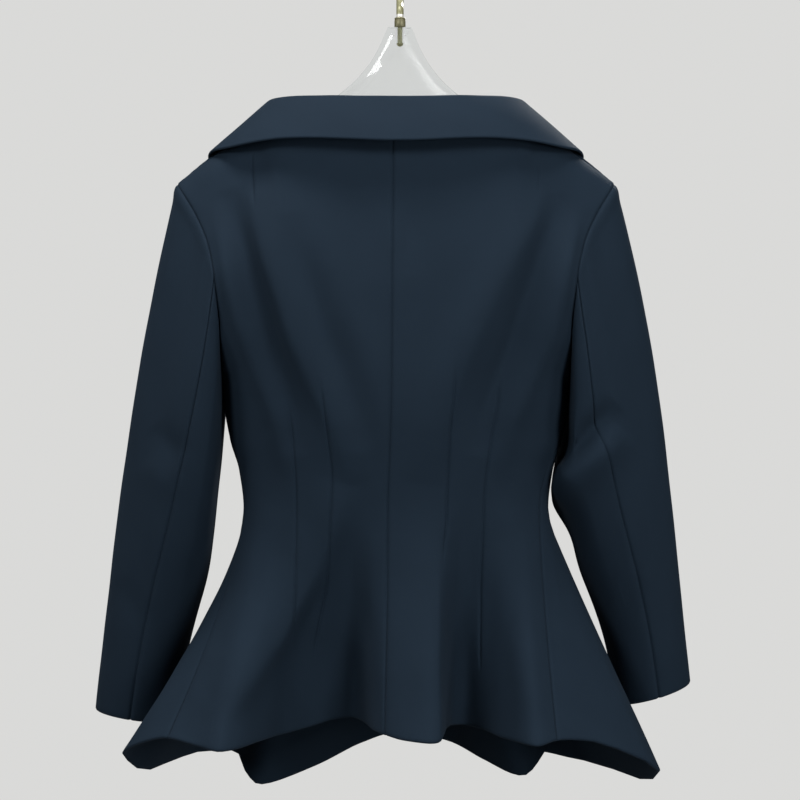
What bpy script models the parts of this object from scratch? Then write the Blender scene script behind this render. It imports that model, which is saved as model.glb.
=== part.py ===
"""Ruffled blazer hanging on a clear hanger, at rest.

Metres, +Z up. The origin is where the hook bears on its rail. The garment's back faces +Y,
its front -Y, and the wearer's left side is +X.
"""

import math
from collections import namedtuple

import bmesh
import bpy
import numpy as np

# Cloth
WALL = 0.0020
SEAM_GAP = 0.0004
LAID_ON = 0.0008            # space under a piece that lies on a panel
SIDE_SHIFT = 0.0036         # the garment hangs this far to the wearer's left of the hook

# Neck, shoulders and closing
NECK_X = 0.119
NECK_Z = -0.145
TIP_X = 0.197
TIP_Z = -0.203
BACK_NECK_Y = 0.050
BACK_NECK_Z = -0.155
SHOULDER_ROLL = 0.30        # share of the armhole's height over which the shoulder rounds off
UNDERARM_Z = -0.392
BREAK_Z = -0.430            # the lapels end and the fronts close here
WAIST_Z = -0.494
OVERLAP = 0.020             # each front's reach past the centre

LEFT, RIGHT = 1, -1

# Body sections. The edge is the armhole down to the underarm, then the side of the body
Section = namedtuple("Section", "height edge_x arm_back arm_front back front roundness")
BODY = (
    Section(-0.203, 0.1970, 0.036, -0.032, 0.062, -0.058, 0.62),
    Section(-0.236, 0.1760, 0.040, -0.036, 0.073, -0.074, 0.66),
    Section(-0.264, 0.1640, 0.052, -0.044, 0.080, -0.084, 0.72),
    Section(-0.293, 0.1580, 0.060, -0.048, 0.084, -0.092, 0.78),
    Section(-0.336, 0.1540, 0.052, -0.042, 0.084, -0.099, 0.88),
    Section(-0.368, 0.1545, 0.030, -0.026, 0.081, -0.101, 0.95),
    Section(-0.392, 0.1550, 0.000, 0.000, 0.078, -0.100, 1.00),
    Section(-0.433, 0.1490, 0.000, 0.000, 0.071, -0.090, 1.00),
    Section(-0.460, 0.1410, 0.000, 0.000, 0.066, -0.080, 1.00),
    Section(-0.494, 0.1370, 0.000, 0.000, 0.062, -0.072, 1.00),
    Section(-0.510, 0.1370, 0.000, 0.000, 0.062, -0.072, 1.00),
)

# Turns of the long seams round the body, in degrees from the centre back towards the left
SeamTurn = namedtuple("SeamTurn", "height centre_back left_side right_side")
SEAMS = (
    SeamTurn(-0.155, 1.0, 90.0, -90.0),
    SeamTurn(-0.392, 1.5, 90.0, -90.0),
    SeamTurn(-0.433, 2.0, 90.5, -79.0),
    SeamTurn(-0.494, 3.0, 92.0, -69.0),
    SeamTurn(-0.510, 3.0, 92.0, -69.0),
)

# Crests and hollows of the hem, each on the line that leaves the waist at its turn. The flare is how
# late that line swings out
Flute = namedtuple("Flute", "name turn x y z flare")
HEM = (
    Flute("right near front", -170, -0.048, -0.122, -0.724, 1.40),
    Flute("right front flank", -159, -0.084, -0.084, -0.735, 1.40),
    Flute("right front hollow", -149, -0.117, -0.054, -0.744, 1.40),
    Flute("right front turn", -143, -0.128, -0.066, -0.738, 1.40),
    Flute("right front edge", -138, -0.139, -0.092, -0.729, 1.40),
    Flute("right front crest", -127, -0.172, -0.092, -0.735, 1.40),
    Flute("right far side", -115, -0.224, -0.012, -0.739, 1.15),
    Flute("right corner", -106, -0.233, 0.034, -0.723, 1.02),
    Flute("right swing", -90, -0.165, 0.076, -0.688, 1.10),
    Flute("right side seam", -69, -0.138, 0.092, -0.685, 1.40),
    Flute("right back crest", -58, -0.119, 0.106, -0.6875, 1.35),
    Flute("right back slope", -46, -0.092, 0.072, -0.687, 1.30),
    Flute("right hollow side", -37, -0.074, 0.042, -0.6845, 1.10),
    Flute("right back hollow", -30, -0.060, 0.030, -0.683, 0.95),
    Flute("right fold foot", -25, -0.050, 0.038, -0.682, 1.00),
    Flute("right fold wall", -21, -0.044, 0.066, -0.681, 1.10),
    Flute("right fold shoulder", -18, -0.041, 0.098, -0.681, 1.15),
    Flute("centre fold edge", -15, -0.038, 0.118, -0.682, 1.20),
    Flute("centre crest", -11, -0.029, 0.123, -0.682, 1.25),
    Flute("centre slope", -4, -0.006, 0.112, -0.6815, 1.30),
    Flute("centre back seam", 3, 0.010, 0.096, -0.680, 1.35),
    Flute("left fold wall", 8, 0.020, 0.074, -0.680, 1.20),
    Flute("left fold foot", 13, 0.029, 0.044, -0.678, 1.00),
    Flute("left back hollow", 18, 0.039, 0.026, -0.677, 0.90),
    Flute("left hollow middle", 25, 0.054, 0.026, -0.679, 0.95),
    Flute("left hollow side", 33, 0.074, 0.032, -0.684, 1.05),
    Flute("left back slope", 41, 0.097, 0.046, -0.688, 1.30),
    Flute("left back wall", 49, 0.117, 0.078, -0.689, 1.50),
    Flute("left fold edge", 56, 0.134, 0.108, -0.690, 1.50),
    Flute("left back crest", 63, 0.147, 0.117, -0.690, 1.45),
    Flute("left flank", 76, 0.168, 0.103, -0.6875, 1.40),
    Flute("left side seam", 92, 0.196, 0.080, -0.685, 1.40),
    Flute("left corner", 106, 0.241, 0.036, -0.707, 1.32),
    Flute("left far side", 115, 0.225, -0.012, -0.730, 1.40),
    Flute("left front crest", 127, 0.186, -0.092, -0.728, 1.40),
    Flute("left front edge", 138, 0.151, -0.096, -0.728, 1.40),
    Flute("left front turn", 143, 0.138, -0.066, -0.744, 1.40),
    Flute("left front hollow", 149, 0.126, -0.054, -0.752, 1.40),
    Flute("left front flank", 159, 0.078, -0.088, -0.741, 1.40),
    Flute("left near front", 170, 0.036, -0.124, -0.726, 1.40),
    Flute("centre front", 180, 0.000, -0.136, -0.718, 1.40),
)

# Soft drapes of the upper back: a line from top to bottom, its depth in and its half width
Drape = namedtuple("Drape", "top_x top_z bottom_x bottom_z depth width")
DRAPES = (
    Drape(0.137, -0.225, 0.084, -0.392, 0.005, 0.014),
    Drape(0.080, -0.280, 0.034, -0.366, 0.003, 0.014),
    Drape(-0.124, -0.240, -0.082, -0.361, 0.005, 0.015),
    Drape(0.115, -0.240, 0.072, -0.341, -0.003, 0.014),
    Drape(-0.104, -0.220, -0.024, -0.353, -0.003, 0.017),
)

# Grid lines of the panels: shares of the armhole's height, heights to the waist, shares of the skirt
YOKE_ROWS = (0.0, 0.015, 0.05, 0.11, 0.19, 0.28, 0.37, 0.475, 0.58, 0.68, 0.78, 0.87, 0.95, 1.0)
WAIST_ROWS = (-0.412, -0.433, -0.453, -0.474, -0.494)
SKIRT_ROWS = (0.13, 0.27, 0.41, 0.55, 0.68, 0.80, 0.91, 1.0)
BACK_TURNS = {
    LEFT: (3, 8, 13, 18, 25, 33, 41, 49, 56, 63, 69.5, 76, 84, 92),
    RIGHT: (3, -4, -11, -15, -18, -21, -25, -30, -36, -46, -52, -58, -63.5, -69),
}
FRONT_TURNS = {
    LEFT: (188.4, 180, 171.6, 165, 159, 154, 149, 143, 138, 132, 127, 121, 115, 110.5, 106, 99, 92),
    RIGHT: (-188.4, -180, -171.6, -165, -159, -154, -149, -143, -138, -132, -127, -121, -115, -110.5, -106,
            -98, -90, -79, -69),
}

# Sleeves: the cuff's ring, how far the cap and the underside swing out at the armhole, and how far the
# underside sags in at the elbow
Sleeve = namedtuple("Sleeve", "cuff_x cuff_y cuff_z half_width half_depth tilt cap_out under_out elbow_in")
SLEEVES = {
    LEFT: Sleeve(0.243, -0.070, -0.689, 0.038, 0.042, 0.15, 0.24, -0.02, 0.000),
    RIGHT: Sleeve(0.240, -0.070, -0.669, 0.035, 0.042, 0.30, 0.28, -0.04, 0.017),
}
ELBOW_AT, ELBOW_ABOVE, ELBOW_BELOW = 0.315, 0.12, 0.10
SLEEVE_ROWS = (0.0, 0.03, 0.08, 0.15, 0.23, 0.32, 0.41, 0.50, 0.60, 0.70, 0.80, 0.90, 1.0)
PITCH_ROW = 7               # the sleeve seams leave the armhole at this row of the yoke

# Collar stations from the centre back to its end on the front. The fall runs from the neckline to a
# place on the panel; the lift is its space off the panel there
Station = namedtuple("Station", "panel neck reach_across reach_down stand lean lift bulge")
COLLAR = (
    Station("back", 0.00, 0.00, 0.090, 0.024, 0.001, 0.019, 0.002),
    Station("back", 0.14, 0.17, 0.090, 0.024, 0.001, 0.019, 0.002),
    Station("back", 0.28, 0.36, 0.095, 0.023, 0.001, 0.018, 0.002),
    Station("back", 0.42, 0.57, 0.110, 0.022, 0.002, 0.012, 0.002),
    Station("back", 0.51, 0.69, 0.070, 0.021, 0.003, 0.007, 0.001),
    Station("front", 0.00, 0.57, 0.000, 0.020, 0.004, 0.003, 0.000),
    Station("front", 0.05, 0.61, 0.045, 0.017, 0.002, 0.005, 0.004),
    Station("front", 0.11, 0.66, 0.105, 0.012, 0.001, 0.004, 0.006),
    Station("front", 0.18, 0.72, 0.180, 0.007, 0.000, 0.004, 0.007),
)
FOLD_RADIUS = 0.005

# Lapels: the share of the front that they cover, from the collar's end down. The left one ends where
# the right front crosses it
LAPEL_TOP = 0.19
LAPEL_END = {LEFT: -0.381, RIGHT: -0.393}
LAPEL_REACH = ((0.0, 0.72), (0.3, 0.66), (0.6, 0.48), (0.85, 0.27), (1.0, 0.06))
LAPEL_COLUMNS = 6

# Button
BUTTON_Z = -0.474
BUTTON_RADIUS = 0.011
BUTTON_THICK = 0.004

# Hanger
HOOK_WIRE = 0.0033
HOOK_INSIDE = 0.020
STEM_TOP_Z = -0.046
FERRULE_TOP_Z = -0.053
FERRULE_BOTTOM_Z = -0.062
FERRULE_RADIUS = 0.005
SHANK_Z = -0.076            # the hook's end inside the clear neck
HANGER_HALF_DEPTH = 0.005
HangerRow = namedtuple("HangerRow", "x top bottom")
HANGER = (
    HangerRow(0.000, -0.0623, -0.152),
    HangerRow(0.0105, -0.0623, -0.152),
    HangerRow(0.013, -0.068, -0.152),
    HangerRow(0.018, -0.080, -0.152),
    HangerRow(0.028, -0.097, -0.153),
    HangerRow(0.042, -0.113, -0.154),
    HangerRow(0.060, -0.127, -0.156),
    HangerRow(0.085, -0.1375, -0.162),
    HangerRow(0.119, -0.1493, -0.176),
    HangerRow(0.140, -0.1650, -0.187),
    HangerRow(0.160, -0.1798, -0.198),
    HangerRow(0.180, -0.1947, -0.209),
)

COLOURS = {
    "cloth": (0.012, 0.019, 0.028, 1.0),
    "button": (0.010, 0.012, 0.016, 1.0),
    "clear": (0.85, 0.88, 0.88, 1.0),
    "brass": (0.42, 0.33, 0.16, 1.0),
}


def lerp(a, b, share):
    return a + (b - a) * share


def unit(vector):
    return vector / np.linalg.norm(vector)


def smooth_curve(places, values):
    """A smooth curve through the points that stays between neighbouring values."""
    places = np.array(places, float)
    values = np.array(values, float)
    steps = np.diff(places)
    slopes = np.diff(values) / steps
    tangents = [slopes[0]]
    for before, after in zip(slopes[:-1], slopes[1:]):
        same_way = before * after > 0
        tangents.append(2 * before * after / (before + after) if same_way else 0.0)
    tangents.append(slopes[-1])

    def value(place):
        place = min(max(place, places[0]), places[-1])
        i = min(int(np.searchsorted(places, place, side="right")) - 1, len(steps) - 1)
        s = (place - places[i]) / steps[i]
        start = values[i] * (1 + 2 * s) + steps[i] * tangents[i] * s
        end = values[i + 1] * (3 - 2 * s) - steps[i] * tangents[i + 1] * (1 - s)
        return start * (1 - s) ** 2 + end * s**2

    return value


def by_height(rows):
    """One curve for each column of a table, worked out from the height."""
    places = [-row.height for row in rows]
    names = rows[0]._fields[1:]
    curves = {name: smooth_curve(places, [getattr(row, name) for row in rows]) for name in names}
    return {name: lambda z, curve=curve: curve(-z) for name, curve in curves.items()}


def by_turn(rows):
    """One closed curve round the hem for each coordinate, and one for the flare."""
    ring = sorted(rows, key=lambda row: row.turn)
    places = [row.turn - 360 for row in ring] + [row.turn for row in ring] + [row.turn + 360 for row in ring]
    return [smooth_curve(places, [getattr(row, name) for row in ring] * 3) for name in ("x", "y", "z", "flare")]


body = by_height(BODY)
seam_turn = by_height(SEAMS)
hem = by_turn(HEM)


def shoulder_z(x):
    return lerp(NECK_Z, TIP_Z, (x - NECK_X) / (TIP_X - NECK_X))


def roll_line_x(z):
    """The front's inner edge: the lapel's roll line, then the closed edge."""
    return max(lerp(NECK_X, -OVERLAP, (NECK_Z - z) / (NECK_Z - BREAK_Z)), -OVERLAP)


def rounded(share):
    """The shoulder's roundness, from the seam at 0 to the full section."""
    left = 1 - min(share / SHOULDER_ROLL, 1.0)
    return math.sqrt(1 - left**2)


def section(across, edge_x, edge_y, centre_y, roundness):
    """A point of a half section, from the centre at 0 to the edge at 1."""
    full = roundness * math.pi / 2
    x = edge_x * math.sin(across * full) / math.sin(full)
    y = edge_y + (centre_y - edge_y) * (math.cos(across * full) - math.cos(full)) / (1 - math.cos(full))
    return x, y


def back_yoke(across, down):
    """The back above the underarm: across runs from the centre to either armhole."""
    tip = BODY[0]
    side = 1 if across >= 0 else -1
    across = abs(across)
    top_x, _ = section(across, TIP_X, 0, 0, tip.roundness)
    if top_x < NECK_X:
        top_y = BACK_NECK_Y * math.sqrt(1 - (top_x / NECK_X) ** 2)
        top_z = lerp(BACK_NECK_Z, NECK_Z, (top_x / NECK_X) ** 2)
    else:
        top_y = 0.0
        top_z = shoulder_z(top_x)
    edge_z = lerp(TIP_Z, UNDERARM_Z, down)
    centre_z = lerp(BACK_NECK_Z, UNDERARM_Z, down)
    x, y = section(across, body["edge_x"](edge_z), body["arm_back"](edge_z), body["back"](centre_z),
                   body["roundness"](edge_z))
    return np.array((side * x, lerp(top_y, y, rounded(down)), lerp(top_z, UNDERARM_Z, down)))


def front_yoke(side, across, down):
    """A front above the underarm: across runs from its inner edge to the armhole."""
    edge_z = lerp(TIP_Z, UNDERARM_Z, down)
    inner_z = lerp(NECK_Z, UNDERARM_Z, down)
    edge_x = body["edge_x"](edge_z)
    roundness = body["roundness"](edge_z)
    full = roundness * math.pi / 2
    inner = math.asin(roll_line_x(inner_z) / edge_x * math.sin(full)) / full
    x, y = section(lerp(inner, 1, across), edge_x, body["arm_front"](edge_z), body["front"](inner_z), roundness)
    top_z = shoulder_z(lerp(NECK_X, TIP_X, across))
    return np.array((side * x, y * rounded(down), lerp(top_z, UNDERARM_Z, down)))


def body_ring(turn, z):
    """The body between the underarm and the waist."""
    angle = math.radians(turn)
    depth = body["back"](z) if math.cos(angle) > 0 else -body["front"](z)
    return np.array((body["edge_x"](z) * math.sin(angle), depth * math.cos(angle), z))


def skirt(turn, down):
    waist = body_ring(turn, WAIST_Z)
    x, y, z, flare = (curve(turn) for curve in hem)
    share = np.array((down**flare, down**flare, down))
    return lerp(waist, np.array((x, y, z)), share)


def draped(point):
    """A point of the upper back, moved by the soft drapes."""
    x, y, z = point
    for drape in DRAPES:
        along = (drape.top_z - z) / (drape.top_z - drape.bottom_z)
        off = x - lerp(drape.top_x, drape.bottom_x, along)
        fade = max(0.0, 1 - (2 * along - 1) ** 2)
        y -= drape.depth * fade * math.exp(-((off / drape.width) ** 2))
    return np.array((x, y, z))


def shares(turns):
    return [(turn - turns[0]) / (turns[-1] - turns[0]) for turn in turns]


def side_turn(side, z):
    return seam_turn["left_side" if side == LEFT else "right_side"](z)


def back_grid(side):
    columns = shares(BACK_TURNS[side])
    grid = []
    for down in YOKE_ROWS:
        centre = seam_turn["centre_back"](lerp(BACK_NECK_Z, UNDERARM_Z, down)) / 90
        grid.append([draped(back_yoke(lerp(centre, side, c), down)) for c in columns])
    for z in WAIST_ROWS:
        start = seam_turn["centre_back"](z)
        grid.append([body_ring(lerp(start, side_turn(side, z), c), z) for c in columns])
    for down in SKIRT_ROWS:
        grid.append([skirt(turn, down) for turn in BACK_TURNS[side]])
    return np.array(grid)


def front_grid(side):
    columns = shares(FRONT_TURNS[side])
    grid = [[front_yoke(side, c, down) for c in columns] for down in YOKE_ROWS]
    for z in WAIST_ROWS:
        start = side * (180 - math.degrees(math.asin(roll_line_x(z) / body["edge_x"](z))))
        grid.append([body_ring(lerp(start, side_turn(side, z), c), z) for c in columns])
    for down in SKIRT_ROWS:
        grid.append([skirt(turn, down) for turn in FRONT_TURNS[side]])
    return np.array(grid)


def elbow_fold(share):
    """How far the underside has sagged in, from the armhole at 0 to the cuff at 1."""
    soft = ELBOW_ABOVE if share < ELBOW_AT else ELBOW_BELOW
    return math.exp(-(((share - ELBOW_AT) / soft) ** 2))


def sleeve_grid(side, loop):
    """Lines from the armhole's points to the cuff. The loop runs underarm, back, shoulder, front."""
    sleeve = SLEEVES[side]
    centre = np.array((side * sleeve.cuff_x, sleeve.cuff_y, sleeve.cuff_z))
    half = len(loop) // 2
    lengths = np.linalg.norm(np.diff(loop, axis=0, append=loop[:1]), axis=1)
    travelled = np.concatenate(([0.0], np.cumsum(lengths)))
    columns = []
    for i, start in enumerate(loop):
        if i <= half:
            angle = math.pi * (1 - travelled[i] / travelled[half])
        else:
            angle = -math.pi * (travelled[i] - travelled[half]) / (travelled[-1] - travelled[half])
        out = side * sleeve.half_width * math.cos(angle)
        end = centre + np.array((out, sleeve.half_depth * math.sin(angle), side * out * sleeve.tilt))
        swing = lerp(sleeve.cap_out, sleeve.under_out, (1 - math.cos(angle)) / 2)
        leave = unit(np.array((side * swing, 0.06 * math.sin(angle), -1.0)))
        arrive = unit(np.array((side * 0.14, -0.20, -1.0)))
        reach = np.linalg.norm(end - start) * 0.36
        handles = (start, start + leave * reach, end - arrive * reach, end)
        sag = np.array((-side * sleeve.elbow_in * ((1 - math.cos(angle)) / 2) ** 2, 0, 0))
        columns.append([bezier(handles, s) + sag * elbow_fold(s) for s in SLEEVE_ROWS])
    return np.array(columns).transpose(1, 0, 2)


def bezier(handles, s):
    a, b, c, d = handles
    return a * (1 - s) ** 3 + 3 * b * s * (1 - s) ** 2 + 3 * c * s**2 * (1 - s) + d * s**3


def normals_of(grid):
    across = np.gradient(grid, axis=1)
    down = np.gradient(grid, axis=0)
    normals = np.cross(down, across)
    return normals / np.linalg.norm(normals, axis=2, keepdims=True)


def share_normals(panels):
    """Panels that meet at a seam point get one normal there, so their walls meet squarely."""
    found = {}
    for grid, normals in panels.values():
        for point, normal in zip(grid.reshape(-1, 3), normals.reshape(-1, 3)):
            found.setdefault(tuple(np.round(point, 5)), []).append(normal)
    for grid, normals in panels.values():
        for i, point in enumerate(grid.reshape(-1, 3)):
            normals.reshape(-1, 3)[i] = unit(sum(found[tuple(np.round(point, 5))]))


def drawn_in(grid):
    """The panel with its edges drawn in by half the seam gap."""
    trimmed = grid.copy()
    for edge, inside in ((0, 1), (-1, -2)):
        step = grid[inside] - grid[edge]
        trimmed[edge] += step / np.linalg.norm(step, axis=1, keepdims=True) * SEAM_GAP / 2
    for edge, inside in ((0, 1), (-1, -2)):
        step = grid[:, inside] - grid[:, edge]
        trimmed[:, edge] += step / np.linalg.norm(step, axis=1, keepdims=True) * SEAM_GAP / 2
    return trimmed


def material(name):
    made = bpy.data.materials.get(name)
    if made is None:
        made = bpy.data.materials.new(name)
        made.use_nodes = True
        made.node_tree.nodes["Principled BSDF"].inputs["Base Color"].default_value = COLOURS[name]
    return made


def add_object(name, points, faces, material_name):
    mesh = bpy.data.meshes.new(name)
    mesh.from_pydata([tuple(point) for point in points], [], faces)
    shape = bmesh.new()
    shape.from_mesh(mesh)
    bmesh.ops.recalc_face_normals(shape, faces=shape.faces)
    bmesh.ops.triangulate(shape, faces=shape.faces)
    shape.to_mesh(mesh)
    shape.free()
    mesh.materials.append(material(material_name))
    made = bpy.data.objects.new(name, mesh)
    bpy.context.scene.collection.objects.link(made)
    return made


def add_wall(name, outer, inner):
    """A closed wall between two grids of points."""
    rows, columns = outer.shape[:2]
    count = rows * columns
    shift = np.array((SIDE_SHIFT, 0, 0))
    points = np.concatenate((outer.reshape(-1, 3), inner.reshape(-1, 3))) + shift
    faces = []
    for r in range(rows - 1):
        for c in range(columns - 1):
            a = r * columns + c
            quad = (a, a + 1, a + columns + 1, a + columns)
            faces.append(quad)
            faces.append(tuple(i + count for i in reversed(quad)))
    rim = [c for c in range(columns)]
    rim += [r * columns + columns - 1 for r in range(1, rows)]
    rim += [(rows - 1) * columns + c for c in range(columns - 2, -1, -1)]
    rim += [r * columns for r in range(rows - 2, 0, -1)]
    for a, b in zip(rim, rim[1:] + rim[:1]):
        faces.append((b, a, a + count, b + count))
    return add_object(name, points, faces, "cloth")


def add_panel(name, grid, normals):
    outer = drawn_in(grid)
    add_wall(name, outer, outer - normals * WALL)


def overlap_lift(grid, normals):
    """The right front over the left one near the centre."""
    turns = np.array(FRONT_TURNS[RIGHT])
    near = np.clip((turns + 152) / -18, 0, 1)
    below = np.clip((BREAK_Z + 0.09 - grid[:, :, 2]) / 0.04, 0, 1)
    lift = (WALL + LAID_ON) * near**2 * (3 - 2 * near) * below
    return grid + normals * lift[:, :, None]


def outward(grid):
    """Normals that point away from the garment's own hollow."""
    normals = normals_of(grid)
    middle = grid.reshape(-1, 3).mean(axis=0)
    facing = np.sum(normals[len(grid) // 2] * (grid[len(grid) // 2] - middle * (0, 0, 1)), axis=1).sum()
    return normals if facing > 0 else -normals


def sleeve_outward(grid):
    """Normals that point away from the sleeve's own hollow."""
    normals = normals_of(grid)
    hollow = grid.mean(axis=1, keepdims=True)
    return normals if np.sum(normals * (grid - hollow)) > 0 else -normals


def add_shell_pieces():
    """Backs, fronts and sleeves, which share their seam points. Returns the fronts' grids and normals."""
    ridge = unit(np.array((NECK_Z - TIP_Z, 0, TIP_X - NECK_X)))
    panels = {}
    for side, word in ((LEFT, "left"), (RIGHT, "right")):
        back = back_grid(side)
        front = front_grid(side)
        arm_back = back[: len(YOKE_ROWS), -1]
        arm_front = front[: len(YOKE_ROWS), -1]
        loop = np.concatenate((arm_back[::-1], arm_front[1:-1]))
        sleeve = sleeve_grid(side, loop)
        last = len(YOKE_ROWS) - 1
        start = last - PITCH_ROW
        end = last + PITCH_ROW
        closed = np.concatenate((sleeve, sleeve), axis=1)
        upper = closed[:, start : end + 1]
        under = closed[:, end : start + len(loop) + 1]
        back_normals = outward(back)
        front_normals = outward(front)
        for c in range(back.shape[1]):
            if abs(back[0, c, 0]) >= NECK_X - 0.001:
                back_normals[0, c] = ridge * (side, 1, 1)
        front_normals[0] = ridge * (side, 1, 1)
        whole = sleeve_outward(closed)
        panels[f"back_{word}"] = (back, back_normals)
        panels[f"front_{word}"] = (front, front_normals)
        panels[f"upper_sleeve_{word}"] = (upper, whole[:, start : end + 1].copy())
        panels[f"under_sleeve_{word}"] = (under, whole[:, end : start + len(loop) + 1].copy())
    share_normals(panels)
    grid, normals = panels["front_right"]
    panels["front_right"] = (overlap_lift(grid, normals), normals)
    for name, (grid, normals) in panels.items():
        add_panel(name, grid, normals)
    return {side: panels[f"front_{word}"] for side, word in ((LEFT, "left"), (RIGHT, "right"))}


def on_panel(panel, side, across, down):
    """A point of a panel and the way out from it there."""
    step = 0.004
    place = (lambda a, d: back_yoke(side * a, d)) if panel == "back" else (lambda a, d: front_yoke(side, a, d))
    point = place(across, down)
    over = place(across + step, down) - place(across - step, down)
    along = place(across, down + step) - place(across, max(down - step, 0.0))
    normal = unit(np.cross(along, over))
    return point, normal if normal[2] > -0.2 and np.dot(normal, point * (1, 1, 0)) > 0 else -normal


def collar_line(station, side):
    """The collar's cross-section: stand, fold and fall."""
    up = np.array((0, 0, 1.0))
    down = 0.0 if station.panel == "back" else station.neck
    across = station.neck if station.panel == "back" else 0.0
    neck, _ = on_panel(station.panel, side, across, down)
    end, normal = on_panel(station.panel, side, station.reach_across, station.reach_down)
    if station.reach_down == 0:
        normal = unit(np.array((side * (NECK_Z - TIP_Z), 0, TIP_X - NECK_X)))
    edge = end + normal * (station.lift + WALL)
    out = unit((edge - neck) * (1, 1, 0))
    middle = neck + up * (station.stand - FOLD_RADIUS) - out * station.lean
    foot = neck - out * WALL + up * (SEAM_GAP + 0.0002)
    line = [foot, lerp(foot, middle - out * FOLD_RADIUS, 0.5)]
    for angle in (180, 135, 90, 50):
        turned = math.radians(angle)
        line.append(middle + FOLD_RADIUS * (out * math.cos(turned) + up * math.sin(turned)))
    start = line[-1]
    for share in (0.25, 0.5, 0.75, 1.0):
        line.append(lerp(start, edge, share) + normal * station.bulge * math.sin(math.pi * share))
    return line


def add_collar():
    left = [collar_line(station, LEFT) for station in COLLAR]
    right = [collar_line(station, RIGHT) for station in COLLAR[1:]]
    grid = np.array(right[::-1] + left)
    grid = refined(grid)
    normals = normals_of(grid)
    if normals[len(grid) // 2, -1, 1] < 0:
        normals = -normals
    add_wall("collar", grid, grid - normals * WALL)


def refined(grid):
    """The grid with a smooth row added between each two rows."""
    places = np.arange(len(grid))
    rows = np.arange(0, len(grid) - 0.75, 0.5)
    made = np.empty((len(rows),) + grid.shape[1:])
    for c in range(grid.shape[1]):
        for k in range(3):
            curve = smooth_curve(places, grid[:, c, k])
            made[:, c, k] = [curve(row) for row in rows]
    return made


def add_lapel(side, word, front):
    """The lapel, made from the front's points, moved out."""
    grid, normals = front
    reach = smooth_curve(*zip(*LAPEL_REACH))
    top = lerp(NECK_Z, UNDERARM_Z, LAPEL_TOP)
    columns = shares(FRONT_TURNS[side])
    outer, inner = [], []
    for row, row_normals in zip(grid, normals):
        z = row[0][2]
        if not LAPEL_END[side] < z < top + 1e-6:
            continue
        line, way = [], []
        for c in range(LAPEL_COLUMNS):
            share = c / (LAPEL_COLUMNS - 1) * reach((top - z) / (top - LAPEL_END[side]))
            line.append([np.interp(share, columns, row[:, k]) for k in range(3)])
            way.append(unit(np.array([np.interp(share, columns, row_normals[:, k]) for k in range(3)])))
        line, way = np.array(line), np.array(way)
        inner.append(line + way * LAID_ON)
        outer.append(line + way * (LAID_ON + WALL))
    add_wall(f"lapel_{word}", np.array(outer), np.array(inner))


def add_turned(name, profile, steps, place, axis, material_name):
    """A solid turned from (radius, height) pairs about an axis."""
    axis = unit(np.array(axis, float))
    side = unit(np.cross(axis, (1.0, 0.0, 0.0)))
    other = np.cross(axis, side)
    points, faces = [], []
    for radius, height in profile:
        for i in range(steps):
            angle = 2 * math.pi * i / steps
            points.append(place + axis * height + radius * (side * math.cos(angle) + other * math.sin(angle)))
    for ring in range(len(profile) - 1):
        for i in range(steps):
            j = (i + 1) % steps
            faces.append((ring * steps + i, ring * steps + j, (ring + 1) * steps + j, (ring + 1) * steps + i))
    faces.append(tuple(range(steps)))
    faces.append(tuple((len(profile) - 1) * steps + i for i in range(steps)))
    return add_object(name, points, faces, material_name)


def add_button(front):
    grid, normals = front
    rows = grid[len(YOKE_ROWS) :, 1]
    row = int(np.argmin(np.abs(rows[:, 2] - BUTTON_Z))) + len(YOKE_ROWS)
    out = unit(normals[row, 1] * (0, 1, 1))
    place = grid[row, 1] * (0, 1, 1) + np.array((SIDE_SHIFT, 0, 0)) + out * LAID_ON
    rim = BUTTON_THICK * 0.7
    profile = ((BUTTON_RADIUS * 0.8, 0), (BUTTON_RADIUS, rim * 0.4), (BUTTON_RADIUS, rim),
               (BUTTON_RADIUS * 0.85, BUTTON_THICK), (BUTTON_RADIUS * 0.65, rim))
    add_turned("button", profile, 20, place, out, "button")


def add_hanger_body():
    """A clear plate with a bore for the hook's shank."""
    right = [(row.x, row.top) for row in HANGER]
    below = [(row.x, row.bottom) for row in reversed(HANGER)]
    half = right + below
    outline = half + [(-x, z) for x, z in reversed(half) if x > 0]
    outline = [(x + SIDE_SHIFT * min(abs(x) / NECK_X, 1), z) for x, z in outline]
    points = [(x, -HANGER_HALF_DEPTH, z) for x, z in outline] + [(x, HANGER_HALF_DEPTH, z) for x, z in outline]
    count = len(outline)
    faces = [tuple(range(count)), tuple(range(2 * count - 1, count - 1, -1))]
    faces += [(i, (i + 1) % count, (i + 1) % count + count, i + count) for i in range(count)]
    plate = add_object("hanger_body", points, faces, "clear")
    depth = SHANK_Z - SEAM_GAP
    bore = add_turned("bore", ((HOOK_WIRE + SEAM_GAP, depth), (HOOK_WIRE + SEAM_GAP, -0.05)), 16,
                      np.zeros(3), (0, 0, 1), "clear")
    cut = plate.modifiers.new("bore", "BOOLEAN")
    cut.operation = "DIFFERENCE"
    cut.solver = "EXACT"
    cut.object = bore
    bore.hide_render = True
    bore.hide_viewport = True


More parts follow.
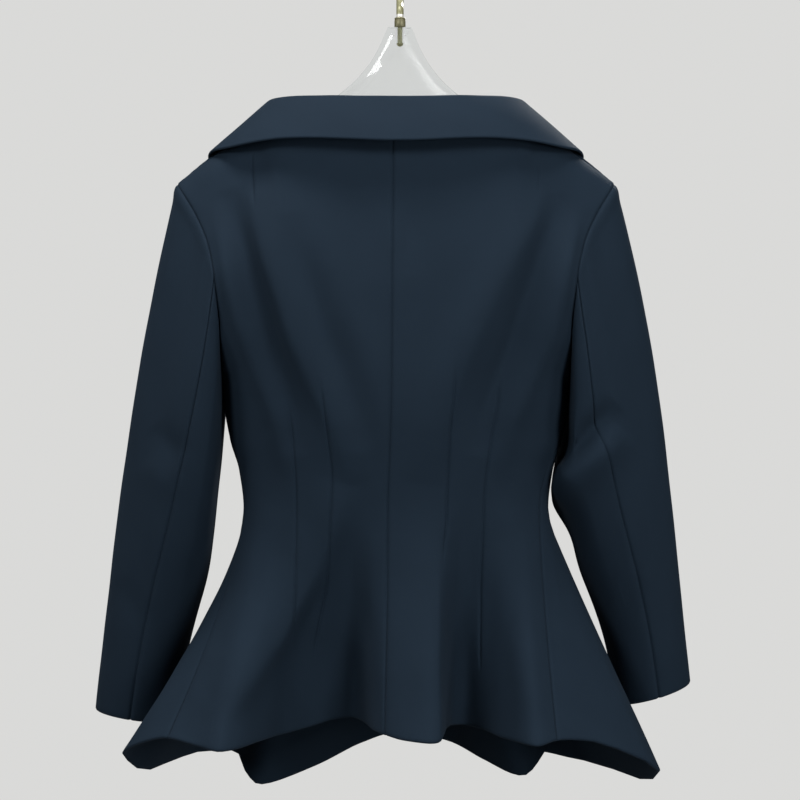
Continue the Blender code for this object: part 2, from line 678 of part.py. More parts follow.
def add_hook():
    """The round hook and its straight shank, in the plane across the garment."""
    ring = HOOK_INSIDE + HOOK_WIRE
    centre = -HOOK_INSIDE
    path = [(0, SHANK_Z), (0, FERRULE_TOP_Z), (0, STEM_TOP_Z - 0.004)]
    path += [(-0.0035, STEM_TOP_Z + 0.0025)]
    path += [(ring * math.cos(a), centre + ring * math.sin(a)) for a in np.radians(range(232, -41, -16))]
    path = np.array(path)
    steps = 12
    points, faces = [], []
    tangents = np.gradient(path, axis=0)
    tangents[0] = tangents[1] = (0, 1)
    for (y, z), along in zip(path, tangents):
        ty, tz = along / np.linalg.norm(along)
        for i in range(steps):
            angle = 2 * math.pi * i / steps
            aside = HOOK_WIRE * math.cos(angle)
            points.append((HOOK_WIRE * math.sin(angle), y + aside * tz, z - aside * ty))
    for r in range(len(path) - 1):
        for i in range(steps):
            j = (i + 1) % steps
            faces.append((r * steps + i, r * steps + j, (r + 1) * steps + j, (r + 1) * steps + i))
    faces.append(tuple(range(steps)))
    faces.append(tuple((len(path) - 1) * steps + i for i in range(steps)))
    add_object("hanger_hook", points, faces, "brass")


def add_ferrule():
    """A sleeve round the stem, on top of the clear neck."""
    bore = HOOK_WIRE + SEAM_GAP
    tall = FERRULE_TOP_Z - FERRULE_BOTTOM_Z
    steps = 20
    profile = ((bore, 0), (FERRULE_RADIUS, 0), (FERRULE_RADIUS, tall - 0.001), (FERRULE_RADIUS - 0.001, tall),
               (bore, tall))
    points, faces = [], []
    for radius, height in profile:
        for i in range(steps):
            angle = 2 * math.pi * i / steps
            points.append((radius * math.cos(angle), radius * math.sin(angle), FERRULE_BOTTOM_Z + height))
    for ring in range(len(profile)):
        after = (ring + 1) % len(profile)
        for i in range(steps):
            j = (i + 1) % steps
            faces.append((ring * steps + i, ring * steps + j, after * steps + j, after * steps + i))
    add_object("hanger_ferrule", points, faces, "brass")


for old in list(bpy.data.objects):
    bpy.data.objects.remove(old)
fronts = add_shell_pieces()
add_collar()
add_lapel(LEFT, "left", fronts[LEFT])
add_lapel(RIGHT, "right", fronts[RIGHT])
add_button(fronts[RIGHT])
add_hanger_body()
add_ferrule()
add_hook()
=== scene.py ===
import math

import bmesh
import bpy
import numpy as np
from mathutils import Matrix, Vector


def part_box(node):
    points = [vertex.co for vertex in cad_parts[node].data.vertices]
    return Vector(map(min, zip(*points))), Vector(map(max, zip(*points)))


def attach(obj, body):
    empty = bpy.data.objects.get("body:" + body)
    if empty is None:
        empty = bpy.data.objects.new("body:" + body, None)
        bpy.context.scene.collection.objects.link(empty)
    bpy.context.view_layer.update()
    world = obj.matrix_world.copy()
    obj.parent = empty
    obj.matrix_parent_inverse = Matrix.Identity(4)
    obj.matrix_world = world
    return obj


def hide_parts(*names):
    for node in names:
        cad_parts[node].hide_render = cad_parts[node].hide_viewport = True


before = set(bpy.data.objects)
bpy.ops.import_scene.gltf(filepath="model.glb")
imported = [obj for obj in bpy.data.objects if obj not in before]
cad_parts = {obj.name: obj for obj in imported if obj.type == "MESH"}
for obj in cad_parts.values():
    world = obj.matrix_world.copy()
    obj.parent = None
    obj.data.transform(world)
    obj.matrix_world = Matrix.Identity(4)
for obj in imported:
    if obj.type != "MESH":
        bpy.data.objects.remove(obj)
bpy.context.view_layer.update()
print("frame loaded")

left, right = 1, -1
sideWord = {left: "left", right: "right"}
cloth = {
    "wall": 0.0020, "hemWall": 0.0034, "hemTurn": 0.032, "hemSoft": 0.004, "laidOn": 0.0008, "shift": 0.0036,
    "waviness": 0.0005, "edgeCalm": 0.012,
}
drape = {"waves": 7, "lean": (1.0, 0.7, 0.45), "lengths": (0.035, 0.095)}

torso = {
    "neckX": 0.119, "neckZ": -0.145, "tipX": 0.197, "tipZ": -0.203,
    "backNeckY": 0.050, "backNeckZ": -0.155, "shoulderRoll": 0.30,
    "underarmZ": -0.392, "breakZ": -0.430, "waistZ": -0.494, "overlap": 0.020,
    "pitch": 0.475,  # how far down the armhole the sleeve seams start
    "rings": (  # height, edge, armhole behind, armhole before, back, front, roundness
        (-0.203, 0.1970, 0.036, -0.032, 0.062, -0.058, 0.62),
        (-0.236, 0.1760, 0.040, -0.036, 0.073, -0.074, 0.66),
        (-0.264, 0.1640, 0.052, -0.044, 0.080, -0.084, 0.72),
        (-0.293, 0.1580, 0.060, -0.048, 0.084, -0.092, 0.78),
        (-0.336, 0.1540, 0.052, -0.042, 0.084, -0.099, 0.88),
        (-0.368, 0.1545, 0.030, -0.026, 0.081, -0.101, 0.95),
        (-0.392, 0.1550, 0.000, 0.000, 0.078, -0.100, 1.00),
        (-0.433, 0.1490, 0.000, 0.000, 0.071, -0.090, 1.00),
        (-0.460, 0.1410, 0.000, 0.000, 0.066, -0.080, 1.00),
        (-0.494, 0.1370, 0.000, 0.000, 0.062, -0.072, 1.00),
        (-0.510, 0.1370, 0.000, 0.000, 0.062, -0.072, 1.00),
    ),
    "seams": (  # height, turns of the centre back, left side and right side seams
        (-0.155, 1.0, 90.0, -90.0),
        (-0.392, 1.5, 90.0, -90.0),
        (-0.433, 2.0, 90.5, -79.0),
        (-0.494, 3.0, 92.0, -69.0),
        (-0.510, 3.0, 92.0, -69.0),
    ),
    "turns": {"centre": 3.0, "edge": 188.4, left: 92.0, right: -69.0},
}

skirt = {
    "hem": (  # turn, x, y, z in millimetres, and how late the flute swings out
        (-170, -48, -122, -724, 1.40),
        (-159, -84, -84, -735, 1.40),
        (-149, -117, -54, -744, 1.40),
        (-143, -128, -66, -738, 1.40),
        (-138, -139, -92, -729, 1.40),
        (-127, -172, -92, -735, 1.40),
        (-115, -224, -12, -739, 1.15),
        (-106, -233, 34, -723, 1.02),
        (-90, -165, 76, -688, 1.10),
        (-69, -138, 92, -685, 1.40),
        (-58, -119, 106, -687.5, 1.35),
        (-46, -92, 72, -687, 1.30),
        (-37, -74, 42, -684.5, 1.10),
        (-30, -60, 30, -683, 0.95),
        (-25, -50, 38, -682, 1.00),
        (-21, -44, 66, -681, 1.10),
        (-18, -41, 98, -681, 1.15),
        (-15, -38, 118, -682, 1.20),
        (-11, -29, 123, -682, 1.25),
        (-4, -6, 112, -681.5, 1.30),
        (3, 10, 96, -680, 1.35),
        (8, 20, 74, -680, 1.20),
        (13, 29, 44, -678, 1.00),
        (18, 39, 26, -677, 0.90),
        (25, 54, 26, -679, 0.95),
        (33, 74, 32, -684, 1.05),
        (41, 97, 46, -688, 1.30),
        (49, 117, 78, -689, 1.50),
        (56, 134, 108, -690, 1.50),
        (63, 147, 117, -690, 1.45),
        (76, 168, 103, -687.5, 1.40),
        (92, 196, 80, -685, 1.40),
        (106, 241, 36, -707, 1.32),
        (115, 225, -12, -730, 1.40),
        (127, 186, -92, -728, 1.40),
        (138, 151, -96, -728, 1.40),
        (143, 138, -66, -744, 1.40),
        (149, 126, -54, -752, 1.40),
        (159, 78, -88, -741, 1.40),
        (170, 36, -124, -726, 1.40),
        (180, 0, -136, -718, 1.40),
    ),
}


def lerp(a, b, share):
    return a + (b - a) * share


def unit(vectors):
    return vectors / np.linalg.norm(vectors, axis=-1, keepdims=True)


def smoothStep(share):
    share = np.clip(share, 0, 1)
    return share * share * (3 - 2 * share)


def smoothCurve(places, values):  # through the points, never past its neighbours
    places = np.asarray(places, float)
    values = np.asarray(values, float)
    steps = np.diff(places)
    wide = (-1,) + (1,) * (values.ndim - 1)
    slopes = np.diff(values, axis=0) / steps.reshape(wide)
    before, after = slopes[:-1], slopes[1:]
    sameWay = before * after > 0
    middle = np.where(sameWay, 2 * before * after / np.where(sameWay, before + after, 1), 0)
    tangents = np.concatenate((slopes[:1], middle, slopes[-1:]))

    def at(place):
        place = np.clip(np.asarray(place, float), places[0], places[-1])
        i = np.clip(np.searchsorted(places, place, side="right") - 1, 0, len(steps) - 1)
        grow = (...,) + (None,) * (values.ndim - 1)
        step = steps[i][grow]
        s = (place - places[i])[grow] / step
        start = values[i] * (1 + 2 * s) + step * tangents[i] * s
        end = values[i + 1] * (3 - 2 * s) - step * tangents[i + 1] * (1 - s)
        return start * (1 - s) ** 2 + end * s**2

    return at


def byHeight(rows):
    table = np.array(rows)
    curve = smoothCurve(-table[:, 0], table[:, 1:])
    return lambda z: np.moveaxis(curve(-np.asarray(z, float)), -1, 0)


def byTurn(rows):
    table = np.array(rows, float)
    table[:, 1:4] *= 0.001
    places = np.concatenate([table[:, 0] + turn for turn in (-360, 0, 360)])
    curve = smoothCurve(places, np.concatenate([table[:, 1:]] * 3))
    return lambda turn: np.moveaxis(curve(turn), -1, 0)


ringAt = byHeight(torso["rings"])  # edge, armBack, armFront, back, front, roundness
seamAt = byHeight(torso["seams"])
hemAt = byTurn(skirt["hem"])


def shoulderZ(x):
    return lerp(torso["neckZ"], torso["tipZ"], (x - torso["neckX"]) / (torso["tipX"] - torso["neckX"]))


def rollLineX(z):
    share = (torso["neckZ"] - z) / (torso["neckZ"] - torso["breakZ"])
    return np.maximum(lerp(torso["neckX"], -torso["overlap"], share), -torso["overlap"])


def rounded(share):
    rest = 1 - np.minimum(share / torso["shoulderRoll"], 1.0)
    return np.sqrt(1 - rest**2)


def halfSection(across, edgeX, edgeY, centreY, roundness):
    full = roundness * math.pi / 2
    x = edgeX * np.sin(across * full) / np.sin(full)
    y = edgeY + (centreY - edgeY) * (np.cos(across * full) - np.cos(full)) / (1 - np.cos(full))
    return x, y


def backYoke(across, down):  # across runs from the centre to either armhole
    t = torso
    side = np.where(across >= 0, 1, -1)
    across = np.abs(across)
    topX, _ = halfSection(across, t["tipX"], 0, 0, t["rings"][0][6])
    inNeck = np.clip(topX / t["neckX"], 0, 1)
    topY = t["backNeckY"] * np.sqrt(1 - inNeck**2)
    topZ = np.where(topX < t["neckX"], lerp(t["backNeckZ"], t["neckZ"], inNeck**2), shoulderZ(topX))
    edgeX, armBack, _, _, _, roundness = ringAt(lerp(t["tipZ"], t["underarmZ"], down))
    centreY = ringAt(lerp(t["backNeckZ"], t["underarmZ"], down))[3]
    x, y = halfSection(across, edgeX, armBack, centreY, roundness)
    return np.stack((side * x, lerp(topY, y, rounded(down)), lerp(topZ, t["underarmZ"], down)), axis=-1)


def frontYoke(side, across, down):  # across runs from the inner edge to the armhole
    t = torso
    innerZ = lerp(t["neckZ"], t["underarmZ"], down)
    edgeX, _, armFront, _, _, roundness = ringAt(lerp(t["tipZ"], t["underarmZ"], down))
    full = roundness * math.pi / 2
    inner = np.arcsin(rollLineX(innerZ) / edgeX * np.sin(full)) / full
    x, y = halfSection(lerp(inner, 1, across), edgeX, armFront, ringAt(innerZ)[4], roundness)
    topZ = shoulderZ(lerp(t["neckX"], t["tipX"], across))
    return np.stack((side * x, y * rounded(down), lerp(topZ, t["underarmZ"], down)), axis=-1)


def bodyRing(turn, z):
    angle = np.radians(turn)
    edgeX, _, _, backY, frontY, _ = ringAt(z)
    depth = np.where(np.cos(angle) > 0, backY, -frontY)
    x = edgeX * np.sin(angle)
    return np.stack((x, depth * np.cos(angle), z + 0 * x), axis=-1)


def skirtPoints(turn, down):
    waist = bodyRing(turn, torso["waistZ"])
    x, y, z, flare = hemAt(turn)
    swing = down**flare
    return lerp(waist, np.stack((x, y, z), axis=-1), np.stack((swing, swing, down + 0 * swing), axis=-1))


# Rows shared by the panels and, down to the underarm, by the sleeves
shoulderTurn = np.concatenate(((0, 0.004, 0.010, 0.020, 0.035), np.linspace(0.055, 1, 32)))
yokeRows = np.concatenate((
    torso["shoulderRoll"] * (1 - np.cos(shoulderTurn * math.pi / 2)),
    np.linspace(0.31, 0.46, 13),
    torso["pitch"] + np.array((-0.0080, -0.0035, 0, 0.0035, 0.0080)),
    np.linspace(0.49, 0.985, 40),
    (0.994, 1.0),
))
waistRows = np.linspace(torso["underarmZ"], torso["waistZ"], 34)[1:]
skirtRows = np.linspace(0, 1, 82)[1:]
pitchRow = int(np.argmin(np.abs(yokeRows - torso["pitch"])))
yokeCount, waistCount = len(yokeRows), len(waistRows)
rowCount = yokeCount + waistCount + len(skirtRows)


def ridge(x, z, path, widths):  # 1 on the path, soft to its ends and to its two sides
    path = np.array(path, float) * 0.001
    lengths = np.linalg.norm(np.diff(path, axis=0), axis=1)
    total, done = lengths.sum(), 0.0
    nearest = np.full(x.shape, 9.0)
    along, aside = np.zeros(x.shape), np.zeros(x.shape)
    for a, b, length in zip(path[:-1], path[1:], lengths):
        t = np.clip(((x - a[0]) * (b[0] - a[0]) + (z - a[1]) * (b[1] - a[1])) / length**2, 0, 1)
        off = np.hypot(x - lerp(a[0], b[0], t), z - lerp(a[1], b[1], t))
        turn = (b[0] - a[0]) * (z - a[1]) - (b[1] - a[1]) * (x - a[0])
        closer = off < nearest
        aside = np.where(closer, turn, aside)
        nearest = np.where(closer, off, nearest)
        along = np.where(closer, (done + t * length) / total, along)
        done += length
    first, second = widths if isinstance(widths, tuple) else (widths, widths)
    width = np.where(aside > 0, first, second) * 0.001
    return np.exp(-((nearest / width) ** 2)) * np.sin(math.pi * along) ** 0.75


def creased(points, creases):
    lift = np.zeros(points.shape[:2])
    for path, height, widths in creases:
        lift += height * 0.001 * ridge(points[..., 0], points[..., 2], path, widths)
    return lift


def uneven(points, seed, height):  # the slight waviness of hanging cloth
    draw = np.random.default_rng(seed)
    lift = np.zeros(points.shape[:2])
    for _ in range(drape["waves"]):
        way = unit(draw.normal(size=3) * drape["lean"])
        lift += np.sin(points @ way * 2 * math.pi / draw.uniform(*drape["lengths"]) + draw.uniform(0, 6.3))
    return lift * height / drape["waves"]


def normalsOf(grid):
    normals = np.cross(np.gradient(grid, axis=0), np.gradient(grid, axis=1))
    return unit(normals)


def turnedOut(normals, out):
    return normals if np.sum(normals * out) > 0 else -normals


def lengthAcross(grid):
    steps = np.linalg.norm(np.diff(grid, axis=1), axis=2)
    return np.concatenate((np.zeros((len(grid), 1)), np.cumsum(steps, axis=1)), axis=1)


def lengthDown(grid):
    steps = np.linalg.norm(np.diff(grid, axis=0), axis=2)
    return np.concatenate((np.zeros((1, grid.shape[1])), np.cumsum(steps, axis=0)))


seam = {
    "depth": 0.0013, "width": 0.0013, "puff": 0.00015, "puffWidth": 0.006,
    "pucker": 0.00012, "puckerEvery": 0.0085, "puckerWidth": 0.005, "puckerDrift": 41,
}


def seamDip(off, along):  # the cloth falls into a seam, and puffs and puckers beside it
    dip = -seam["depth"] * np.exp(-((off / seam["width"]) ** 2))
    puff = seam["puff"] * (off / seam["puffWidth"]) ** 2 * np.exp(1 - (off / seam["puffWidth"]) ** 2)
    drift = 2.0 * np.sin(along * seam["puckerDrift"])
    waves = np.sin(along * 2 * math.pi / seam["puckerEvery"] + drift)
    return dip + puff + seam["pucker"] * waves * np.exp(-((off / seam["puckerWidth"]) ** 2))



def makeObject(name, points, faces, uv=None):
    mesh = bpy.data.meshes.new(name)
    mesh.from_pydata(np.asarray(points, float), [], faces)
    if uv is not None:
        layer = mesh.uv_layers.new(name="cut")
        corners = np.empty(len(mesh.loops), np.int32)
        mesh.loops.foreach_get("vertex_index", corners)
        layer.data.foreach_set("uv", np.asarray(uv, np.float32)[corners].ravel())
    shape = bmesh.new()
    shape.from_mesh(mesh)
    bmesh.ops.recalc_face_normals(shape, faces=shape.faces)
    shape.to_mesh(mesh)
    shape.free()
    mesh.polygons.foreach_set("use_smooth", np.ones(len(mesh.polygons), bool))
    made = bpy.data.objects.new(name, mesh)
    bpy.context.scene.collection.objects.link(made)
    return made


def shell(name, outer, inner, bulge):  # a closed wall; bulge rounds the top, bottom, first and last edges
    rows, columns = outer.shape[:2]
    count = rows * columns
    index = np.arange(count).reshape(rows, columns)
    quads = np.stack((index[:-1, :-1], index[1:, :-1], index[1:, 1:], index[:-1, 1:]), axis=-1).reshape(-1, 4)
    rim = np.concatenate((index[0, :-1], index[:-1, -1], index[-1, :0:-1], index[:0:-1, 0]))
    away = np.zeros_like(outer)
    for edge, inside, share in ((0, 1, bulge[0]), (-1, -2, bulge[1])):
        away[edge] += unit(outer[edge] - outer[inside]) * share
    for edge, inside, share in ((0, 1, bulge[2]), (-1, -2, bulge[3])):
        away[:, edge] += unit(outer[:, edge] - outer[:, inside]) * share
    flatOuter, flatInner, flatAway = (a.reshape(-1, 3)[rim] for a in (outer, inner, away))
    middle = (flatOuter + flatInner) / 2
    half = (flatOuter - flatInner) / 2
    reach = np.linalg.norm(half, axis=1, keepdims=True)
    rings = []
    for angle in np.radians((45, 90, 135)):
        rings.append(middle + half * math.cos(angle) + flatAway * reach * math.sin(angle))
    points = np.concatenate([outer.reshape(-1, 3), inner.reshape(-1, 3)] + rings)
    points = points + (cloth["shift"], 0, 0)
    size = len(rim)
    bands = [rim] + [2 * count + k * size + np.arange(size) for k in range(3)] + [rim + count]
    faces = [quads, quads[:, ::-1] + count]
    for a, b in zip(bands[:-1], bands[1:]):
        faces.append(np.stack((a, b, np.roll(b, -1), np.roll(a, -1)), axis=-1))
    u = lengthAcross(outer)
    uv = np.stack((u - u[:, columns // 2, None], lengthDown(outer)), axis=-1).reshape(-1, 2)
    uv = np.concatenate([uv, uv] + [uv[rim]] * 3)
    return makeObject(name, points, np.concatenate(faces), uv)


def spread(count, pinch):  # shares from 0 to 1, closer together at both ends
    t = np.linspace(0, 1, count)
    return t - pinch * np.sin(2 * math.pi * t) / (2 * math.pi)


panelGrid = {"columns": 34, "pinch": 0.86, "samples": 321, "softRows": 6}


def columnShares(points, side, lines):
    # columns of a panel that follow the lines, each a table of x and z, and lie close beside them
    samples = np.linspace(0, 1, panelGrid["samples"])
    soft = panelGrid["softRows"]
    kernel = np.exp(-(np.arange(-soft, soft + 1) / (soft / 2)) ** 2)
    grid = points(np.broadcast_to(samples, (rowCount, len(samples))))
    stops = [np.zeros(rowCount)]
    for line in lines:
        table = np.array(line, float) * 0.001
        lineX = smoothCurve(-table[:, 1], table[:, 0])
        off = side * (grid[..., 0] - lineX(-grid[..., 2]))
        share = np.array([np.interp(0.0, row, samples) for row in off])
        stops.append(np.convolve(np.pad(share, soft, mode="edge"), kernel / kernel.sum(), mode="valid"))
    stops.append(np.ones(rowCount))
    parts, knots = [], []
    for a, b in zip(stops[:-1], stops[1:]):
        part = lerp(a[:, None], b[:, None], spread(panelGrid["columns"], panelGrid["pinch"]))
        parts.append(part if b is stops[-1] else part[:, :-1])
        knots.append(sum(p.shape[1] for p in parts))
    return np.concatenate(parts, axis=1), knots[:-1]


def dartStrength(z, ends):  # soft where a dart runs out, from its top to its foot
    top, foot, soft = (value * 0.001 for value in ends)
    return smoothStep((top - z) / soft) * smoothStep((z - foot) / soft)


backs = {
    left: {
        "lines": (  # inner and outer dart, x and z in millimetres; the outer line starts as the shoulder dart
            ((62, -150), (63.3, -375), (58.5, -425), (55.4, -467), (56.3, -508), (60.5, -561), (65.7, -586),
             (71.7, -621), (74, -680)),
            ((127, -150), (126.9, -181), (122.8, -229), (95.5, -399), (89, -444), (86.9, -487), (86.7, -519),
             (88.4, -566), (91.3, -600), (95, -680)),
        ),
        "darts": ((0, -375, -628, 26, 1.0), (1, -176, -229, 12, 0.9), (1, -399, -606, 24, 1.0)),
        "creases": (  # path, height, width, in millimetres
            (((146, -212), (140, -243), (130, -277), (121, -311), (111, -346), (100, -380),
              (90, -410), (86, -445)), -8.5, 12),
            (((127, -212), (120, -243), (111, -277), (99, -311), (88, -346), (72, -380),
              (52, -422), (38, -470)), 7.0, (10, 18)),
            (((158, -222), (152, -249), (147, -275), (142, -301), (136, -328), (126, -354), (114, -384),
              (101, -420), (96, -465)), 4.6, 9),
            (((90, -235), (82, -273), (70, -311), (58, -346), (45, -380), (34, -410), (28, -440)), -4.4, 13),
            (((56, -270), (38, -320), (22, -356), (13, -400), (10, -450)), 2.4, 15),
            (((60, -190), (30, -250), (14, -290)), -1.6, 22),
            (((44, -470), (56, -512), (72, -550), (105, -605), (146, -664), (156, -690)), 10.0, (30, 11)),
            (((28, -560), (34, -625), (38, -676)), -1.8, 9),
            (((118, -415), (108, -455), (112, -500)), -1.2, 10),
        ),
    },
    right: {
        "lines": (
            ((-49, -150), (-50.7, -364), (-47.5, -412), (-45.2, -460), (-44.4, -500), (-41.7, -531),
             (-41, -600), (-44, -690)),
            ((-127, -150), (-126.9, -181), (-122.8, -229), (-92.2, -375), (-88.2, -406), (-82.5, -437),
             (-77.6, -477), (-75.6, -519), (-73.7, -567), (-73.7, -612), (-76, -690)),
        ),
        "darts": ((0, -364, -540, 26, 1.0), (1, -179, -222, 14, 0.35), (1, -375, -640, 24, 1.0)),
        "creases": (
            (((-145, -215), (-137, -243), (-126, -277), (-114, -311), (-103, -346), (-89, -380),
              (-79, -405), (-72, -445)), -8.5, 12),
            (((-128, -210), (-117, -243), (-99, -277), (-82, -311), (-66, -346), (-52, -380),
              (-38, -420), (-28, -470)), 6.5, (22, 12)),
            (((-161, -222), (-157, -243), (-150, -277), (-142, -311), (-133, -346), (-117, -380),
              (-101, -420), (-92, -465)), 4.6, 9),
            (((-30, -195), (-14, -250), (-8, -290)), -1.5, 22),
            (((-92, -520), (-104, -600), (-120, -670)), 2.0, 13),
            (((-100, -410), (-96, -455), (-94, -500)), -1.0, 10),
        ),
    },
}

frontDart = (
    (155, -150), (140, -200), (110, -280), (84, -352), (74, -430),
    (70, -494), (74, -560), (80, -620), (92, -760),
)
fronts = {
    left: {
        "lines": (frontDart,),
        "darts": ((0, -352, -640, 26, 1.0),),
        "creases": (
            (((160, -250), (128, -330), (104, -372)), -2.6, 11),
            (((150, -236), (112, -300)), 2.0, 12),
            (((120, -420), (72, -462), (30, -474)), -1.6, 9),
            (((118, -545), (70, -512), (28, -486)), -1.5, 9),
            (((60, -560), (58, -640), (56, -712)), 1.8, 11),
        ),
    },
    right: {
        "lines": (tuple((-x, z) for x, z in frontDart),),
        "darts": ((0, -352, -640, 26, 1.0),),
        "creases": (
            (((-160, -245), (-130, -325), (-108, -366)), -2.4, 11),
            (((-148, -236), (-110, -306)), 2.2, 12),
            (((-118, -428), (-66, -460), (-16, -472)), -1.8, 9),
            (((-112, -540), (-66, -508), (-16, -480)), -1.6, 9),
            (((-50, -560), (-52, -640), (-58, -712)), 1.6, 11),
        ),
    },
}


def backPoints(side, share):
    upper, middle, lower = np.split(share, (yokeCount, yokeCount + waistCount))
    down, z = yokeRows[:, None], waistRows[:, None]
    start = seamAt(lerp(torso["backNeckZ"], torso["underarmZ"], down))[0] / 90
    yoke = backYoke(lerp(start, side, upper), down)
    turns = seamAt(z)
    waist = bodyRing(lerp(turns[0], turns[1 if side == left else 2], middle), z)
    low = skirtPoints(lerp(torso["turns"]["centre"], torso["turns"][side], lower), skirtRows[:, None])
    return np.concatenate((yoke, waist, low))


overlap = {"above": 0.09, "soft": 0.04, "turn": 152, "softTurn": 18}


def overlapLift(side, share, z):  # the right front lies over the left one near the centre
    if side == left:
        return 0 * z
    turn = lerp(-torso["turns"]["edge"], torso["turns"][right], share)
    below = np.clip((torso["breakZ"] + overlap["above"] - z) / overlap["soft"], 0, 1)
    beyond = smoothStep((turn + overlap["turn"]) / -overlap["softTurn"])
    return (cloth["wall"] + cloth["laidOn"]) * beyond * below


def frontPoints(side, share):
    upper, middle, lower = np.split(share, (yokeCount, yokeCount + waistCount))
    z = waistRows[:, None]
    yoke = frontYoke(side, upper, yokeRows[:, None])
    start = side * (180 - np.degrees(np.arcsin(rollLineX(z) / ringAt(z)[0])))
    waist = bodyRing(lerp(start, seamAt(z)[1 if side == left else 2], middle), z)
    low = skirtPoints(lerp(side * torso["turns"]["edge"], torso["turns"][side], lower), skirtRows[:, None])
    return np.concatenate((yoke, waist, low))


backFall = {
    "evenOver": 0.030, "fadeTop": 0.03, "fadeHem": 0.05, "fadeArmhole": 0.035,
    "swells": (  # height, how far out, reach up and down, reach to the sides
        (-0.285, -0.006, 0.070, 0.080),
        (-0.465, 0.006, 0.080, 0.090),
    ),
}


def evened(grid):  # takes the steps out of a back's fall, then hollows and swells it
    along, across = lengthDown(grid)[:, 0], lengthAcross(grid)
    reach = backFall["evenOver"]
    weights = np.exp(-(((along[:, None] - along) / reach) ** 2)) * np.gradient(along)
    weights /= weights.sum(axis=1, keepdims=True)
    free = smoothStep(along / backFall["fadeTop"]) * smoothStep((along[-1] - along) / backFall["fadeHem"])
    free = free[:, None] * smoothStep((across[:, -1:] - across) / backFall["fadeArmhole"])
    depth = lerp(grid[..., 1], weights @ grid[..., 1], free)
    for height, out, tall, wide in backFall["swells"]:
        near = ((grid[..., 2] - height) / tall) ** 2 + (grid[..., 0] / wide) ** 2
        depth = depth + out * free * np.exp(-near)
    return np.stack((grid[..., 0], depth, grid[..., 2]), axis=-1)


def layPanel(points, side, settings, out, lift=None):
    share, knots = columnShares(points, side, settings["lines"])
    grid = points(share)
    if lift is None:
        grid = evened(grid)
    normals = turnedOut(normalsOf(grid), out)
    if lift is not None:
        grid = grid + normals * lift(share, grid[..., 2])[..., None]
    return {"grid": grid, "normals": normals, "knots": knots}


def hemThick(toEdge):  # a turned-up hem is thicker than the cloth
    inHem = smoothStep(1 - (toEdge - cloth["hemTurn"]) / cloth["hemSoft"])
    return lerp(cloth["wall"], cloth["hemWall"], inHem)


def sewPanel(name, panel, settings, bulge, seed):
    grid, normals = panel["grid"], panel["normals"]
    across, along = lengthAcross(grid), lengthDown(grid)
    relief = creased(grid, settings["creases"]) + uneven(grid, seed, cloth["waviness"])
    for line, top, foot, soft, deep in settings["darts"]:
        off = across - across[:, panel["knots"][line], None]
        relief = relief + deep * dartStrength(grid[..., 2], (top, foot, soft)) * seamDip(off, along)
    calm, toSide = cloth["edgeCalm"], across[:, -1:] - across
    sewnStart = not bulge[2]  # a front's first edge is free
    fromStart = across if sewnStart else across + calm
    relief = relief * smoothStep(fromStart / calm) * smoothStep(toSide / calm)
    if sewnStart:
        relief += seamDip(across, along)
    relief += seamDip(toSide, along)
    shoulder = np.abs(grid[0, :, 0]) > torso["neckX"]
    relief += np.where(shoulder, seamDip(along, across), 0)
    outer = grid + normals * relief[..., None]
    wall = hemThick(along[-1] - along)
    made = shell(name, outer, outer - normals * wall[..., None], bulge)
    print(name, "length", round(float(along[-1].max()), 3), "hem", round(float(across[-1, -1]), 3))
    return made


sleeves = {
    left: {
        "cuff": (0.243, -0.070, -0.689), "halfWidth": 0.038, "halfDepth": 0.042, "tilt": 0.15,
        "capOut": 0.24, "underOut": -0.02, "elbowIn": 0.000, "forearmIn": 0.004,
        "behind": (
            (((214, -420), (196, -440), (178, -436)), -1.8, 11),
            (((222, -450), (204, -470), (186, -462)), 1.4, 12),
            (((252, -560), (232, -590), (214, -584)), -1.2, 13),
        ),
        "before": (
            (((212, -430), (190, -452), (172, -440)), -3.0, 12),
            (((218, -462), (196, -486), (180, -476)), 2.4, 13),
            (((248, -570), (226, -600), (208, -588)), -1.6, 14),
        ),
    },
    right: {
        "cuff": (0.240, -0.070, -0.669), "halfWidth": 0.035, "halfDepth": 0.042, "tilt": 0.30,
        "capOut": 0.28, "underOut": -0.04, "elbowIn": 0.019, "forearmIn": 0.009,
        "behind": (
            (((-196, -402), (-176, -422), (-160, -438), (-146, -456)), -10.0, 12),
            (((-198, -420), (-176, -442), (-158, -462), (-138, -488)), 9.0, (10, 20)),
            (((-226, -560), (-208, -585), (-196, -580)), -1.2, 13),
        ),
        "before": (
            (((-204, -424), (-180, -446), (-164, -436)), -3.2, 12),
            (((-208, -452), (-184, -478), (-170, -466)), 2.4, 13),
            (((-240, -555), (-218, -586), (-202, -574)), -1.6, 14),
        ),
    },
    "rows": np.concatenate((
        (0, 0.0012, 0.003, 0.0055, 0.009), np.linspace(0.014, 0.975, 146), (0.984, 0.992, 1.0),
    )),
    "hang": (0.14, -0.20, -1.0), "handle": 0.36, "leaveOut": 0.06,
    "elbowAt": 0.315, "elbowAbove": 0.12, "elbowBelow": 0.10, "forearmAt": 0.53, "forearmSoft": 0.16,
    "roll": 0.0010, "rollAt": 0.007, "rollWidth": 0.006, "edgeCalm": 0.010, "creaseTurn": 2.5,
}



